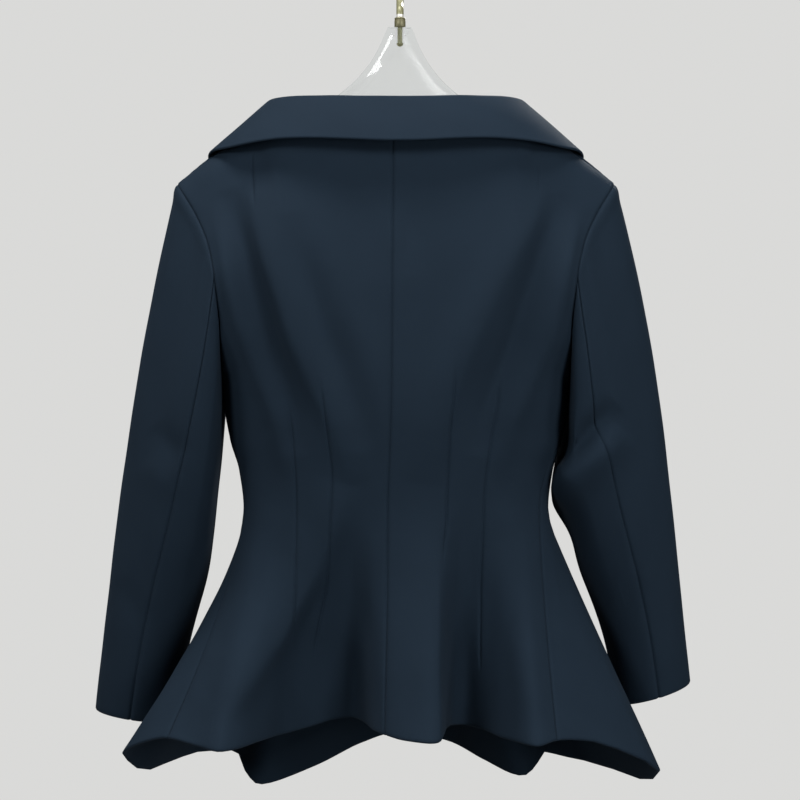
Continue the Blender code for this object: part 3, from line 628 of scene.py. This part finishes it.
def sleevePoints(side, loop):  # from the armhole's points to the cuff: underarm, behind, shoulder, before
    sleeve = sleeves[side]
    half = len(loop) // 2
    steps = np.linalg.norm(np.diff(loop, axis=0, append=loop[:1]), axis=1)
    gone = np.concatenate(([0.0], np.cumsum(steps)))
    behind = math.pi * (1 - gone[:-1] / gone[half])
    before = -math.pi * (gone[:-1] - gone[half]) / (gone[-1] - gone[half])
    angle = np.where(np.arange(len(loop)) <= half, behind, before)
    outX = side * sleeve["halfWidth"] * np.cos(angle)
    end = np.stack((outX, sleeve["halfDepth"] * np.sin(angle), side * outX * sleeve["tilt"]), axis=-1)
    end = end + np.array(sleeve["cuff"]) * (side, 1, 1)
    under = (1 - np.cos(angle)) / 2
    swing = lerp(sleeve["capOut"], sleeve["underOut"], under)
    leave = unit(np.stack((side * swing, sleeves["leaveOut"] * np.sin(angle), -1 + 0 * angle), axis=-1))
    arrive = unit(np.array(sleeves["hang"]) * (side, 1, 1))
    reach = np.linalg.norm(end - loop, axis=1, keepdims=True) * sleeves["handle"]
    s = sleeves["rows"][:, None, None]
    line = loop * (1 - s) ** 3 + 3 * (loop + leave * reach) * s * (1 - s) ** 2
    line = line + 3 * (end - arrive * reach) * s**2 * (1 - s) + end * s**3
    share = s[..., 0]
    soft = np.where(share < sleeves["elbowAt"], sleeves["elbowAbove"], sleeves["elbowBelow"])
    sag = np.exp(-(((share - sleeves["elbowAt"]) / soft) ** 2)) * sleeve["elbowIn"]
    below = (share - sleeves["forearmAt"]) / sleeves["forearmSoft"]
    sag = sag + np.exp(-(below**2)) * sleeve["forearmIn"]
    line[..., 0] -= side * sag * under**2
    return line, angle


def laySleeve(side, back, front):
    loop = np.concatenate((back[:yokeCount, -1][::-1], front[1 : yokeCount - 1, -1]))
    tube, angle = sleevePoints(side, loop)
    around = np.concatenate((tube, tube), axis=1)
    normals = turnedOut(normalsOf(around), around - around.mean(axis=1, keepdims=True))
    count = len(loop)
    normals[:, 0] = normals[:, count]
    normals[:, -1] = normals[:, count - 1]
    return {"grid": around, "normals": normals, "angle": np.concatenate((angle, angle)), "count": count}


def joinNormals(back, front, sleeve):  # cloth that meets at a seam leans the same way there
    ridgeTop = np.array((torso["neckZ"] - torso["tipZ"], 0, torso["tipX"] - torso["neckX"]))
    sideSign = np.sign(back["grid"][0, -1, 0])
    ridgeTop = unit(ridgeTop) * (sideSign, 1, 1)
    back["normals"][0, np.abs(back["grid"][0, :, 0]) > torso["neckX"] - 0.001] = ridgeTop
    front["normals"][0] = ridgeTop
    under = yokeCount - 1
    low = unit(back["normals"][under:, -1] + front["normals"][under:, -1])
    back["normals"][under:, -1] = front["normals"][under:, -1] = low
    count = sleeve["count"]
    loop = np.concatenate((back["normals"][:yokeCount, -1][::-1], front["normals"][1:under, -1]))
    loop = unit(loop + sleeve["normals"][0, :count])
    sleeve["normals"][0] = np.concatenate((loop, loop))
    back["normals"][:yokeCount, -1] = loop[:yokeCount][::-1]
    front["normals"][:yokeCount, -1] = np.concatenate((loop[under : under + 1], loop[yokeCount:], loop[:1]))


def sewSleeve(side, sleeve):
    settings, word = sleeves[side], sideWord[side]
    start, end = yokeCount - 1 - pitchRow, yokeCount - 1 + pitchRow
    made = []
    for piece, first, last in (("upper_sleeve", start, end), ("under_sleeve", end, start + sleeve["count"])):
        grid = sleeve["grid"][:, first : last + 1]
        out = sleeve["normals"][:, first : last + 1]
        turn = sleeve["angle"][first : last + 1]
        across, along = lengthAcross(grid), lengthDown(grid)
        behind = np.clip(np.sin(turn) * sleeves["creaseTurn"], 0, 1)
        before = np.clip(-np.sin(turn) * sleeves["creaseTurn"], 0, 1)
        relief = creased(grid, settings["behind"]) * behind + creased(grid, settings["before"]) * before
        cap = np.clip(np.cos(turn), 0, 1) ** 2
        relief += sleeves["roll"] * cap * np.exp(-(((along - sleeves["rollAt"]) / sleeves["rollWidth"]) ** 2))
        toSide, soft = across[:, -1:] - across, sleeves["edgeCalm"]
        calm = smoothStep(across / soft) * smoothStep(toSide / soft) * smoothStep(along / soft)
        relief += uneven(grid, 11 + 2 * side + len(made), cloth["waviness"]) * calm
        relief += seamDip(across, along) + seamDip(toSide, along) + seamDip(along, across)
        outer = grid + out * relief[..., None]
        wall = hemThick(along[-1] - along)
        name = f"{piece}_{word}_cloth"
        made.append(shell(name, outer, outer - out * wall[..., None], (0, 1, 0, 0)))
        print(name, "length", round(float(along[-1].max()), 3), "width", round(float(across.max()), 3))
    return made


def onPanel(panel, side, across, down):  # a point on a yoke, and the way out of it
    step = 0.004

    def place(a, d):
        if panel == "back":
            return backYoke(np.array(side * a), np.array(d))
        return frontYoke(side, np.array(a), np.array(d))

    point = place(across, down)
    over = place(across + step, down) - place(across - step, down)
    along = place(across, down + step) - place(across, max(down - step, 0.0))
    normal = unit(np.cross(along, over))
    return point, normal if normal[2] > -0.2 and np.dot(normal, point * (1, 1, 0)) > 0 else -normal


collar = {
    "foldRadius": 0.005, "wall": 0.0024, "footGap": 0.0006, "waviness": 0.0004, "rows": 250, "softening": 160,
    "standSteps": 10, "foldSteps": 14, "foldTurn": (180, 50), "fallSteps": 36, "evenings": 6, "softRow": 9.0,
    "stations": (  # panel, neck, across, down, stand, lean, lift, bulge, from the centre back to the end
        ("back", 0.00, 0.00, 0.090, 0.024, 0.001, 0.019, 0.002),
        ("back", 0.14, 0.17, 0.090, 0.024, 0.001, 0.019, 0.002),
        ("back", 0.28, 0.36, 0.095, 0.023, 0.001, 0.018, 0.002),
        ("back", 0.42, 0.57, 0.110, 0.0215, 0.002, 0.015, 0.002),
        ("back", 0.51, 0.69, 0.070, 0.0185, 0.003, 0.012, 0.001),
        ("front", 0.00, 0.57, 0.000, 0.0165, 0.004, 0.007, 0.000),
        ("front", 0.05, 0.61, 0.045, 0.017, 0.002, 0.005, 0.004),
        ("front", 0.11, 0.66, 0.105, 0.012, 0.001, 0.004, 0.006),
        ("front", 0.18, 0.72, 0.180, 0.007, 0.000, 0.004, 0.007),
    ),
}


def collarLine(station, side):  # stand, fold and fall
    panel, neckShare, across, down, stand, lean, lift, bulge = station
    up = np.array((0, 0, 1.0))
    atNeck = (neckShare, 0.0) if panel == "back" else (0.0, neckShare)
    neck, _ = onPanel(panel, side, *atNeck)
    end, normal = onPanel(panel, side, across, down)
    if down == 0:
        normal = unit(np.array((side * (torso["neckZ"] - torso["tipZ"]), 0, torso["tipX"] - torso["neckX"])))
    edge = end + normal * (lift + cloth["wall"])
    out = unit((edge - neck) * (1, 1, 0))
    radius = collar["foldRadius"]
    middle = neck + up * (stand - radius) - out * lean
    foot = neck - out * cloth["wall"] + up * collar["footGap"]
    shares = np.linspace(0, 1, collar["standSteps"])[:-1]
    line = [lerp(foot, middle - out * radius, share) for share in shares]
    turns = np.radians(np.linspace(*collar["foldTurn"], collar["foldSteps"]))
    line += [middle + radius * (out * math.cos(a) + up * math.sin(a)) for a in turns]
    start = line[-1]
    for share in spread(collar["fallSteps"], 0.5)[1:]:
        line.append(lerp(start, edge, share) + normal * bulge * math.sin(math.pi * share))
    return line


def dressCollar():
    rightHalf = [collarLine(station, right) for station in collar["stations"][1:]]
    leftHalf = [collarLine(station, left) for station in collar["stations"]]
    stations = np.array(rightHalf[::-1] + leftHalf)
    grid = smoothCurve(np.arange(len(stations)), stations)(np.linspace(0, len(stations) - 1, collar["rows"]))
    for _ in range(collar["evenings"]):
        grid[:, 1:-1] = (grid[:, :-2] + 2 * grid[:, 1:-1] + grid[:, 2:]) / 4
    soft = grid.copy()
    for _ in range(collar["softening"]):
        soft[1:-1] = (soft[:-2] + 2 * soft[1:-1] + soft[2:]) / 4
    grid = lerp(grid, soft, smoothStep(np.arange(grid.shape[1]) / collar["softRow"])[:, None])
    normals = turnedOut(normalsOf(grid), np.array((0, 0, 1.0)))
    outer = grid + normals * uneven(grid, 31, collar["waviness"])[..., None]
    return shell("collar_cloth", outer, outer - normals * collar["wall"], (1, 1, 0.6, 1))


lapel = {
    "top": 0.19, "end": {left: 0.95, right: 1.0}, "wall": 0.0020, "tuck": 0.006, "rows": 96,
    "columns": 56, "pinch": 0.6, "rollSteps": 13, "tuckSteps": 5, "puff": 0.0022, "waviness": 0.0003,
    # how far down, and the share of the front that it covers there
    "reach": ((0.0, 0.72), (0.3, 0.66), (0.6, 0.48), (0.85, 0.27), (1.0, 0.06)),
    "endZ": {left: -0.381, right: -0.393},
}


def dressLapel(side):
    top = lerp(torso["neckZ"], torso["underarmZ"], lapel["top"])
    down = np.linspace(lapel["top"], lapel["end"][side], lapel["rows"])[:, None]
    z = lerp(torso["neckZ"], torso["underarmZ"], down)
    reach = smoothCurve(*zip(*lapel["reach"]))((top - z) / (top - lapel["endZ"][side]))
    share = spread(lapel["columns"], lapel["pinch"])[None, :] * reach
    face = frontYoke(side, share, down)
    out = turnedOut(normalsOf(face), np.array((0, -1.0, 0)))
    face = face + out * overlapLift(side, share, face[..., 2])[..., None]
    away = unit(face[:, :1] - face[:, 1:2])
    half = cloth["wall"] / 2
    around = half + cloth["laidOn"] + lapel["wall"] / 2
    edge, edgeOut = face[:, :1] - out[:, :1] * half, out[:, :1]
    turns = np.radians(np.linspace(180, 0, lapel["rollSteps"]))[None, :-1, None]
    roll = edge + around * (edgeOut * np.cos(turns) + away * np.sin(turns))
    under = lapel["tuck"] * np.linspace(1, 0, lapel["tuckSteps"])[None, :-1, None]
    tuck = edge - edgeOut * around - away * under
    soft = np.sin(math.pi * np.linspace(0, 1, share.shape[1])) ** 1.5 * lapel["puff"]
    lie = face + out * (cloth["laidOn"] + lapel["wall"] / 2 + soft[None, :, None])
    middle = np.concatenate((tuck, roll, lie), axis=1)
    normals = normalsOf(middle)
    normals = normals if normals[5, -5, 1] < 0 else -normals
    outer = middle + normals * (lapel["wall"] / 2 + uneven(middle, 41 + side, lapel["waviness"])[..., None])
    return shell(f"lapel_{sideWord[side]}_cloth", outer, outer - normals * lapel["wall"], (0.6, 1, 1, 1))


behind, before = np.array((0, 1.0, 0)), np.array((0, -1.0, 0))
backPanels, frontPanels, backPieces, frontPieces, sleevePieces = {}, {}, {}, {}, {}
for side in (left, right):
    backPanels[side] = layPanel(lambda share: backPoints(side, share), side, backs[side], behind)
    frontPanels[side] = layPanel(lambda share: frontPoints(side, share), side, fronts[side], before,
                                 lambda share, z: overlapLift(side, share, z))
middleSeam = unit(backPanels[left]["normals"][:, 0] + backPanels[right]["normals"][:, 0])
for side in (left, right):
    word = sideWord[side]
    backPanels[side]["normals"][:, 0] = middleSeam
    sleeve = laySleeve(side, backPanels[side]["grid"], frontPanels[side]["grid"])
    joinNormals(backPanels[side], frontPanels[side], sleeve)
    back, front = backPanels[side], frontPanels[side]
    backPieces[side] = sewPanel(f"back_{word}_cloth", back, backs[side], (0, 1, 0, 0), 3 + side)
    frontPieces[side] = sewPanel(f"front_{word}_cloth", front, fronts[side], (0, 1, 1, 0), 7 + side)
    sleevePieces[side] = sewSleeve(side, sleeve)
collarPiece = dressCollar()
lapelPieces = {side: dressLapel(side) for side in (left, right)}
print("cloth made")


def bandFaces(levels, steps, closed=False):  # quads from ring to ring, and flat ends
    faces = []
    for level in range(levels if closed else levels - 1):
        low, high = level * steps, (level + 1) % levels * steps
        for i in range(steps):
            j = (i + 1) % steps
            faces.append((low + i, low + j, high + j, high + i))
    if not closed:
        faces.append(tuple(range(steps)))
        faces.append(tuple((levels - 1) * steps + i for i in range(steps)))
    return faces


def turned(name, profile, steps, place, axis, closed=False):  # turned from radius and height
    axis = unit(np.array(axis, float))
    aside = unit(np.cross(axis, (1.0, 0.0, 0.0) if abs(axis[0]) < 0.9 else (0, 1.0, 0)))
    other = np.cross(axis, aside)
    turns = np.linspace(0, 2 * math.pi, steps, endpoint=False)
    ring = np.outer(np.cos(turns), aside) + np.outer(np.sin(turns), other)
    points = np.concatenate([place + axis * height + ring * radius for radius, height in profile])
    return makeObject(name, points, bandFaces(len(profile), steps, closed))


def wire(name, path, radius, steps):  # a round wire along a path, with rounded ends
    path = np.array(path, float)
    tangents = unit(np.gradient(path, axis=0))
    aside = unit(np.cross(tangents[0], (0.3, 0.9, 0.2)))
    turns = np.linspace(0, 2 * math.pi, steps, endpoint=False)
    tips = {0: (-75, -50, -25, 0), len(path) - 1: (0, 25, 50, 75)}
    rings = []
    for k, (point, along) in enumerate(zip(path, tangents)):
        aside = unit(aside - along * np.dot(aside, along))
        ring = np.outer(np.cos(turns), aside) + np.outer(np.sin(turns), np.cross(along, aside))
        for tip in np.radians(tips.get(k, (0,))):
            rings.append(point + along * radius * math.sin(tip) + ring * radius * math.cos(tip))
    return makeObject(name, np.concatenate(rings), bandFaces(len(rings), steps))


button = {
    "thick": 0.004, "z": -0.474, "hole": 0.0011, "holeOff": 0.0021, "holeDeep": 0.008, "thread": 0.00055,
    "threadZ": 0.0024, "threadRise": 0.0010, "threadOver": 0.0006,
    "profile": (  # radius, height
        (0.0002, 0), (0.0088, 0), (0.0102, 0.0004), (0.0110, 0.0014), (0.0110, 0.0026), (0.0106, 0.0034),
        (0.0098, 0.0040), (0.0090, 0.0040), (0.0080, 0.0033), (0.0068, 0.0029), (0.0002, 0.0027),
    ),
}



def makeButton():
    low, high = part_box("button")
    centre = (np.array(low) + np.array(high)) / 2
    slope = (ringAt(button["z"] - 0.004)[4] - ringAt(button["z"] + 0.004)[4]) / 0.008
    out = unit(np.array((0, -1.0, slope)))
    place = centre - out * button["thick"] * 0.5
    disc = turned("button_disc", button["profile"], 64, place, out)
    up = unit(np.cross((1.0, 0, 0), out))
    holes = [(i * button["holeOff"], j * button["holeOff"]) for i, j in ((1, 1), (-1, 1), (-1, -1), (1, -1))]
    for i, j in holes:
        spot = place + np.array((i, 0, 0)) + up * j - out * 0.001
        bore = ((button["hole"], 0), (button["hole"], button["holeDeep"]))
        cutter = turned("holeCutter", bore, 20, spot, out)
        cut = disc.modifiers.new("hole", "BOOLEAN")
        cut.object, cut.solver = cutter, "EXACT"
        bpy.context.view_layer.objects.active = disc
        bpy.ops.object.modifier_apply(modifier=cut.name)
        bpy.data.objects.remove(cutter)
    threads = []
    for k, (a, b) in enumerate(((0, 2), (1, 3))):
        path = []
        for t in np.linspace(0, 1, 15):
            i, j = lerp(np.array(holes[a]), np.array(holes[b]), t)
            rise = button["threadRise"] + button["threadOver"] * k
            height = button["threadZ"] + rise * math.sin(math.pi * t) ** 0.5
            path.append(place + np.array((i, 0, 0)) + up * j + out * height)
        threads.append(wire(f"button_thread_{k}", path, button["thread"], 10))
    return disc, threads


buttonPiece, threadPieces = makeButton()
print("button made")

hanger = {
    "halfDepth": 0.005, "bevel": 0.0012, "rim": 0.0050, "slope": 0.0012, "sunk": 0.0010,
    "wire": 0.0033, "inside": 0.020, "stemTop": -0.046, "shank": -0.0755,
    "boreGap": 0.0004, "boreBelow": 0.0008,
    "ferrule": (-0.062, -0.053), "ferruleRadius": 0.005, "ferruleGap": 0.0002,
    "plate": (  # distance from the middle, top, bottom
        (0.000, -0.0623, -0.152), (0.0105, -0.0623, -0.152), (0.013, -0.068, -0.152),
        (0.018, -0.080, -0.152), (0.028, -0.097, -0.153), (0.042, -0.113, -0.154),
        (0.060, -0.127, -0.156), (0.085, -0.1375, -0.162), (0.119, -0.1493, -0.176),
        (0.140, -0.1650, -0.187), (0.160, -0.1798, -0.198), (0.180, -0.1947, -0.209),
    ),
}


def makeHangerPlate():
    rows = np.array(hanger["plate"])
    neck, end = rows[1, 0], rows[-1, 0]
    x = np.concatenate((np.linspace(0, neck, 4)[:-1], np.linspace(neck, end, 60)))
    top, bottom = (np.interp(x, rows[:, 0], rows[:, k]) for k in (1, 2))
    smooth = smoothCurve(rows[1:, 0], rows[1:, 1])
    top = np.where(x > neck, smooth(x), top)
    half = list(zip(x, top)) + list(zip(x[::-1], bottom[::-1]))
    outline = half + [(-a, b) for a, b in reversed(half) if a > 0]
    outline = [(a + cloth["shift"] * min(abs(a) / torso["neckX"], 1), b) for a, b in outline]
    depth = hanger["halfDepth"]
    points = [(a, y, b) for y in (-depth, depth) for a, b in outline]
    count = len(outline)
    faces = [tuple(range(count)), tuple(range(2 * count - 1, count - 1, -1))]
    faces += [(i, (i + 1) % count, (i + 1) % count + count, i + count) for i in range(count)]
    plate = makeObject("hanger_plate", points, faces)
    web = bmesh.new()  # the rim stands proud of the web on both sides
    web.from_mesh(plate.data)
    for face in [face for face in web.faces if len(face.verts) > 4]:
        for wide, deep in ((hanger["rim"], 0), (hanger["slope"], -hanger["sunk"])):
            bmesh.ops.inset_region(web, faces=[face], thickness=wide, depth=deep, use_even_offset=True)
    web.to_mesh(plate.data)
    web.free()
    bore = hanger["wire"] + hanger["boreGap"]
    foot = np.array((0, 0, hanger["shank"] - hanger["boreBelow"]))
    cutter = turned("boreCutter", ((bore, 0), (bore, 0.03)), 32, foot, (0, 0, 1))
    cut = plate.modifiers.new("bore", "BOOLEAN")
    cut.object, cut.solver = cutter, "EXACT"
    soft = plate.modifiers.new("soft edges", "BEVEL")
    soft.width, soft.segments = hanger["bevel"], 3
    soft.limit_method, soft.angle_limit = "ANGLE", math.radians(50)
    bpy.context.view_layer.objects.active = plate
    for name in ("bore", "soft edges"):
        bpy.ops.object.modifier_apply(modifier=name)
    bpy.data.objects.remove(cutter)
    plate.data.set_sharp_from_angle(angle=math.radians(40))
    return plate


def makeHook():
    ring, centre = hanger["inside"] + hanger["wire"], -hanger["inside"]
    stem = [(0, z) for z in np.linspace(hanger["shank"], hanger["stemTop"] - 0.004, 14)]
    bend = [(ring * math.cos(a), centre + ring * math.sin(a)) for a in np.radians(np.arange(232, -41, -4))]
    start, end = np.array(stem[-1]), np.array(bend[0])
    reach = np.linalg.norm(end - start) * 0.4
    tangent = unit(np.array(bend[1]) - end)
    swan = []
    for s in np.linspace(0, 1, 9)[1:-1]:
        handles = start, start + (0, reach), end - tangent * reach, end
        weights = (1 - s) ** 3, 3 * s * (1 - s) ** 2, 3 * s * s * (1 - s), s**3
        swan.append(sum(w * h for w, h in zip(weights, handles)))
    path = [(0, y, z) for y, z in stem + [tuple(p) for p in swan] + bend]
    return wire("hook_wire", path, hanger["wire"], 28)


def makeFerrule():
    bottom, top = hanger["ferrule"]
    radius, bore = hanger["ferruleRadius"], hanger["wire"] + hanger["ferruleGap"]
    profile = ((bore, 0), (radius - 0.0005, 0), (radius, 0.0005), (radius, 0.0065), (radius - 0.0004, 0.0070),
               (radius - 0.0004, 0.0074), (radius, 0.0078), (radius - 0.0002, 0.0086),
               (bore + 0.0006, top - bottom), (bore, top - bottom))
    made = turned("ferrule_sleeve", profile, 48, np.array((0, 0, bottom)), (0, 0, 1), closed=True)
    made.data.set_sharp_from_angle(angle=math.radians(50))
    return made


platePiece, hookPiece, ferrulePiece = makeHangerPlate(), makeHook(), makeFerrule()
print("hanger made")


class Socket:  # one output, with sums written as Python
    def __init__(self, tree, socket=None):
        self.tree, self.socket = tree, socket

    def node(self, kind, settings=None, inputs=None, output=0):
        made = self.tree.nodes.new(kind)
        for key, value in (settings or {}).items():
            setattr(made, key, value)
        for key, value in (inputs or {}).items():
            if isinstance(value, Socket):
                self.tree.links.new(value.socket, made.inputs[key])
            else:
                made.inputs[key].default_value = value
        return Socket(self.tree, made.outputs[output])

    def calc(self, operation, *values):
        return self.node("ShaderNodeMath", {"operation": operation}, dict(enumerate(values)))

    def __add__(self, other):
        return self.calc("ADD", self, other)

    def __radd__(self, other):
        return self.calc("ADD", other, self)

    def __mul__(self, other):
        return self.calc("MULTIPLY", self, other)

    def __rmul__(self, other):
        return self.calc("MULTIPLY", other, self)


def finish(name, constants):  # a new material; returns its tree's wires and its shader
    made = bpy.data.materials.new(name)
    made.use_nodes = True
    shader = made.node_tree.nodes["Principled BSDF"]
    for key, value in constants.items():
        shader.inputs[key].default_value = value
    return made, Socket(made.node_tree), shader


def feed(start, shader, links):
    for key, value in links.items():
        start.tree.links.new(value.socket, shader.inputs[key])


def noise(start, place, scale, detail, roughness=0.5, flat=False):
    values = {"Vector": place, "Scale": scale, "Detail": detail, "Roughness": roughness}
    return start.node("ShaderNodeTexNoise", {"noise_dimensions": "2D" if flat else "3D"}, values)


def mixed(start, share, first, second):
    return start.node("ShaderNodeMix", {"data_type": "RGBA"}, {"Factor": share, 6: first, 7: second}, 2)


def bumped(start, strength, distance, height):
    return start.node("ShaderNodeBump", None, {"Strength": strength, "Distance": distance, "Height": height})


crepe = {
    "dark": (0.0100, 0.0195, 0.0325, 1), "light": (0.0150, 0.0280, 0.0455, 1),
    "thread": 2 * math.pi / 0.00052, "pebble": 1500.0, "cloud": 16.0, "relief": 0.00016,
}


def navyCrepe():
    made, start, shader = finish("navyCrepe", {
        "Specular IOR Level": 0.10, "Sheen Weight": 0.02, "Sheen Roughness": 0.45,
        "Sheen Tint": (0.72, 0.84, 1.0, 1)})
    cut = start.node("ShaderNodeUVMap", {"uv_map": "cut"})
    across, along = (start.node("ShaderNodeSeparateXYZ", None, {0: cut}, k) for k in (0, 1))
    weave = across.calc("SINE", across * crepe["thread"]) * along.calc("SINE", along * crepe["thread"])
    pebble = noise(start, cut, crepe["pebble"], 2.0, 0.6, flat=True)
    cloud = noise(start, cut, crepe["cloud"], 3.0, 0.55, flat=True)
    colour = mixed(start, cloud * 0.55 + pebble * 0.35 + weave * 0.05, crepe["dark"], crepe["light"])
    bump = bumped(start, 0.55, crepe["relief"], pebble * 0.8 + weave * 0.35)
    feed(start, shader, {"Base Color": colour, "Roughness": 0.70 + 0.22 * pebble, "Normal": bump})
    return made


def darkButton():
    made, start, shader = finish("darkButton", {"Coat Roughness": 0.12, "Specular IOR Level": 0.5})
    grain = noise(start, start.node("ShaderNodeTexCoord", output=3), 420.0, 4.0)
    colour = mixed(start, grain, (0.006, 0.008, 0.011, 1), (0.016, 0.020, 0.027, 1))
    coat = 0.2 + 0.3 * grain
    feed(start, shader, {"Base Color": colour, "Roughness": 0.22 + 0.18 * grain, "Coat Weight": coat})
    return made


def navyThread():
    made, start, shader = finish("navyThread", {"Sheen Weight": 0.2, "Specular IOR Level": 0.3})
    place = start.node("ShaderNodeTexCoord", output=3)
    ply = start.node("ShaderNodeTexWave", {"bands_direction": "DIAGONAL"},
                     {"Vector": place, "Scale": 900.0, "Distortion": 1.0})
    colour = mixed(start, ply, (0.010, 0.017, 0.025, 1), (0.024, 0.036, 0.050, 1))
    bump = bumped(start, 0.6, 0.0002, ply)
    feed(start, shader, {"Base Color": colour, "Roughness": 0.55 + 0.2 * ply, "Normal": bump})
    return made


def clearPlastic():
    made, start, shader = finish("clearPlastic", {
        "Base Color": (0.93, 0.95, 0.95, 1), "Transmission Weight": 1.0, "IOR": 1.49,
        "Specular IOR Level": 0.5})
    place = start.node("ShaderNodeTexCoord", output=3)
    flow, scuff = noise(start, place, 60.0, 3.0), noise(start, place, 900.0, 2.0)
    bump = bumped(start, 0.15, 0.0008, flow)
    feed(start, shader, {"Roughness": 0.02 + 0.05 * flow + 0.03 * scuff, "Normal": bump})
    return made


brass = {  # dark and light tones, and a painted highlight: a near-white ring of colour on the stem where it meets the ferrule
    "stem": ((0.27, 0.26, 0.14, 1), (0.44, 0.43, 0.25, 1)),
    "ferrule": ((0.12, 0.11, 0.055, 1), (0.30, 0.28, 0.16, 1)),
    "paintedHighlight": (0.92, 0.90, 0.84, 1), "highlightZ": -0.0514, "highlightHalf": 0.0012,
}


def dullBrass(part):
    made, start, shader = finish(f"{part}Brass", {"Metallic": 0.25})
    place = start.node("ShaderNodeTexCoord", output=3)
    tarnish, scratch = noise(start, place, 140.0, 5.0, 0.65), noise(start, place, 1800.0, 2.0)
    height = start.node("ShaderNodeSeparateXYZ", None, {0: place}, 2)
    # painted highlight: a thin band of the stem at one height is coloured near-white, standing in for light
    # falling on it
    ring = height.calc("COMPARE", height, brass["highlightZ"], brass["highlightHalf"])
    colour = mixed(start, ring, mixed(start, tarnish, *brass[part]), brass["paintedHighlight"])
    bump = bumped(start, 0.2, 0.0001, scratch)
    feed(start, shader, {"Base Color": colour, "Roughness": 0.28 + 0.28 * tarnish, "Normal": bump})
    return made


def dress(piece, material, node):
    piece.data.materials.clear()
    piece.data.materials.append(material)
    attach(piece, "root")
    if node:
        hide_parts(node)


fabric, buttonFinish, thread, clear = navyCrepe(), darkButton(), navyThread(), clearPlastic()
restsOn = {
    "back": ["hanger_plate"], "front": ["hanger_plate"],
    "collar": ["back_left_cloth", "back_right_cloth"],
}
for side in (left, right):
    word = sideWord[side]
    pieces = {"back": backPieces[side], "front": frontPieces[side], "upper_sleeve": sleevePieces[side][0],
              "under_sleeve": sleevePieces[side][1], "lapel": lapelPieces[side]}
    restsOn["upper_sleeve"] = restsOn["under_sleeve"] = [f"back_{word}_cloth", f"front_{word}_cloth"]
    restsOn["lapel"] = [f"front_{word}_cloth"]
    for part, piece in pieces.items():
        node = f"{part}_{word}"
        dress(piece, fabric, node)
dress(collarPiece, fabric, "collar")
dress(buttonPiece, buttonFinish, "button")
for piece in threadPieces:
    dress(piece, thread, None)
dress(platePiece, clear, "hanger_body")
dress(hookPiece, dullBrass("stem"), "hanger_hook")
dress(ferrulePiece, dullBrass("ferrule"), "hanger_ferrule")
print("pieces dressed")

studio = {
    "camera": (0, 1.7, -0.397), "lens": 85, "floorZ": -1.30, "floorRadius": 1.6, "floorSides": 96,
    "aim": (0, 0, -0.42),
    "lights": (  # place, width, watts
        ((0.00, 0.52, 1.51), 0.6, 15.2),
        ((0.49, 0.18, 1.51), 0.6, 17.5),
        ((-1.04, 1.485, 0.425), 0.6, 11.6),
        ((1.04, 1.485, 0.425), 0.6, 12.7),
        ((-1.15, 1.64, -0.42), 0.6, 9.0),
        ((-1.88, 0.68, -0.42), 0.6, 4.5),
        ((1.88, 0.68, -0.42), 0.6, 6.5),
        ((-0.70, -2.10, 1.30), 1.0, 46.0),
    ),
    "sky": (0.70, 0.70, 0.69, 1), "ambient": 0.002,
}


def makeStudio():
    view = bpy.data.cameras.new("camera")
    view.lens, view.sensor_width = studio["lens"], 36
    camera = bpy.data.objects.new("camera", view)
    camera.location = studio["camera"]
    camera.rotation_euler = (math.radians(90), 0, math.radians(180))
    bpy.context.scene.collection.objects.link(camera)
    bpy.context.scene.camera = camera
    sides = studio["floorSides"]
    turns = np.linspace(0, 2 * math.pi, sides, endpoint=False)
    rim = np.stack((np.cos(turns), np.sin(turns)), axis=-1) * studio["floorRadius"]
    points = [(x, y, studio["floorZ"]) for x, y in rim]
    floor = makeObject("studio_floor", points, [tuple(range(sides))])
    made, start, shader = finish("paleFloor", {"Specular IOR Level": 0.2})
    grain = noise(start, start.node("ShaderNodeTexCoord", output=3), 9.0, 4.0)
    colour = mixed(start, grain, (0.15, 0.15, 0.15, 1), (0.19, 0.19, 0.185, 1))
    feed(start, shader, {"Base Color": colour, "Roughness": 0.6 + 0.2 * grain})
    floor.data.materials.append(made)
    for spot, size, power in studio["lights"]:
        lamp = bpy.data.lights.new("soft light", "AREA")
        lamp.shape, lamp.size, lamp.energy = "DISK", size, power
        holder = bpy.data.objects.new("soft light", lamp)
        holder.location = spot
        holder.visible_transmission = False  # keeps the lamps' shapes out of the clear hanger
        towards = np.array(studio["aim"]) - spot
        holder.rotation_euler = (math.acos(-towards[2] / np.linalg.norm(towards)), 0,
                                 math.atan2(towards[1], towards[0]) - math.pi / 2)
        bpy.context.scene.collection.objects.link(holder)
    world = bpy.data.worlds.new("studio")
    world.use_nodes = True
    bpy.context.scene.world = world
    sky = Socket(world.node_tree)
    seen = sky.node("ShaderNodeLightPath", output=0) + sky.node("ShaderNodeLightPath", output=6)
    shade = world.node_tree.nodes["Background"]
    shade.inputs["Color"].default_value = studio["sky"]
    strength = studio["ambient"] + (1 - studio["ambient"]) * seen.calc("MINIMUM", seen, 1.0)
    world.node_tree.links.new(strength.socket, shade.inputs["Strength"])
    bpy.context.scene.view_settings.view_transform = "Standard"


makeStudio()
print("studio set")
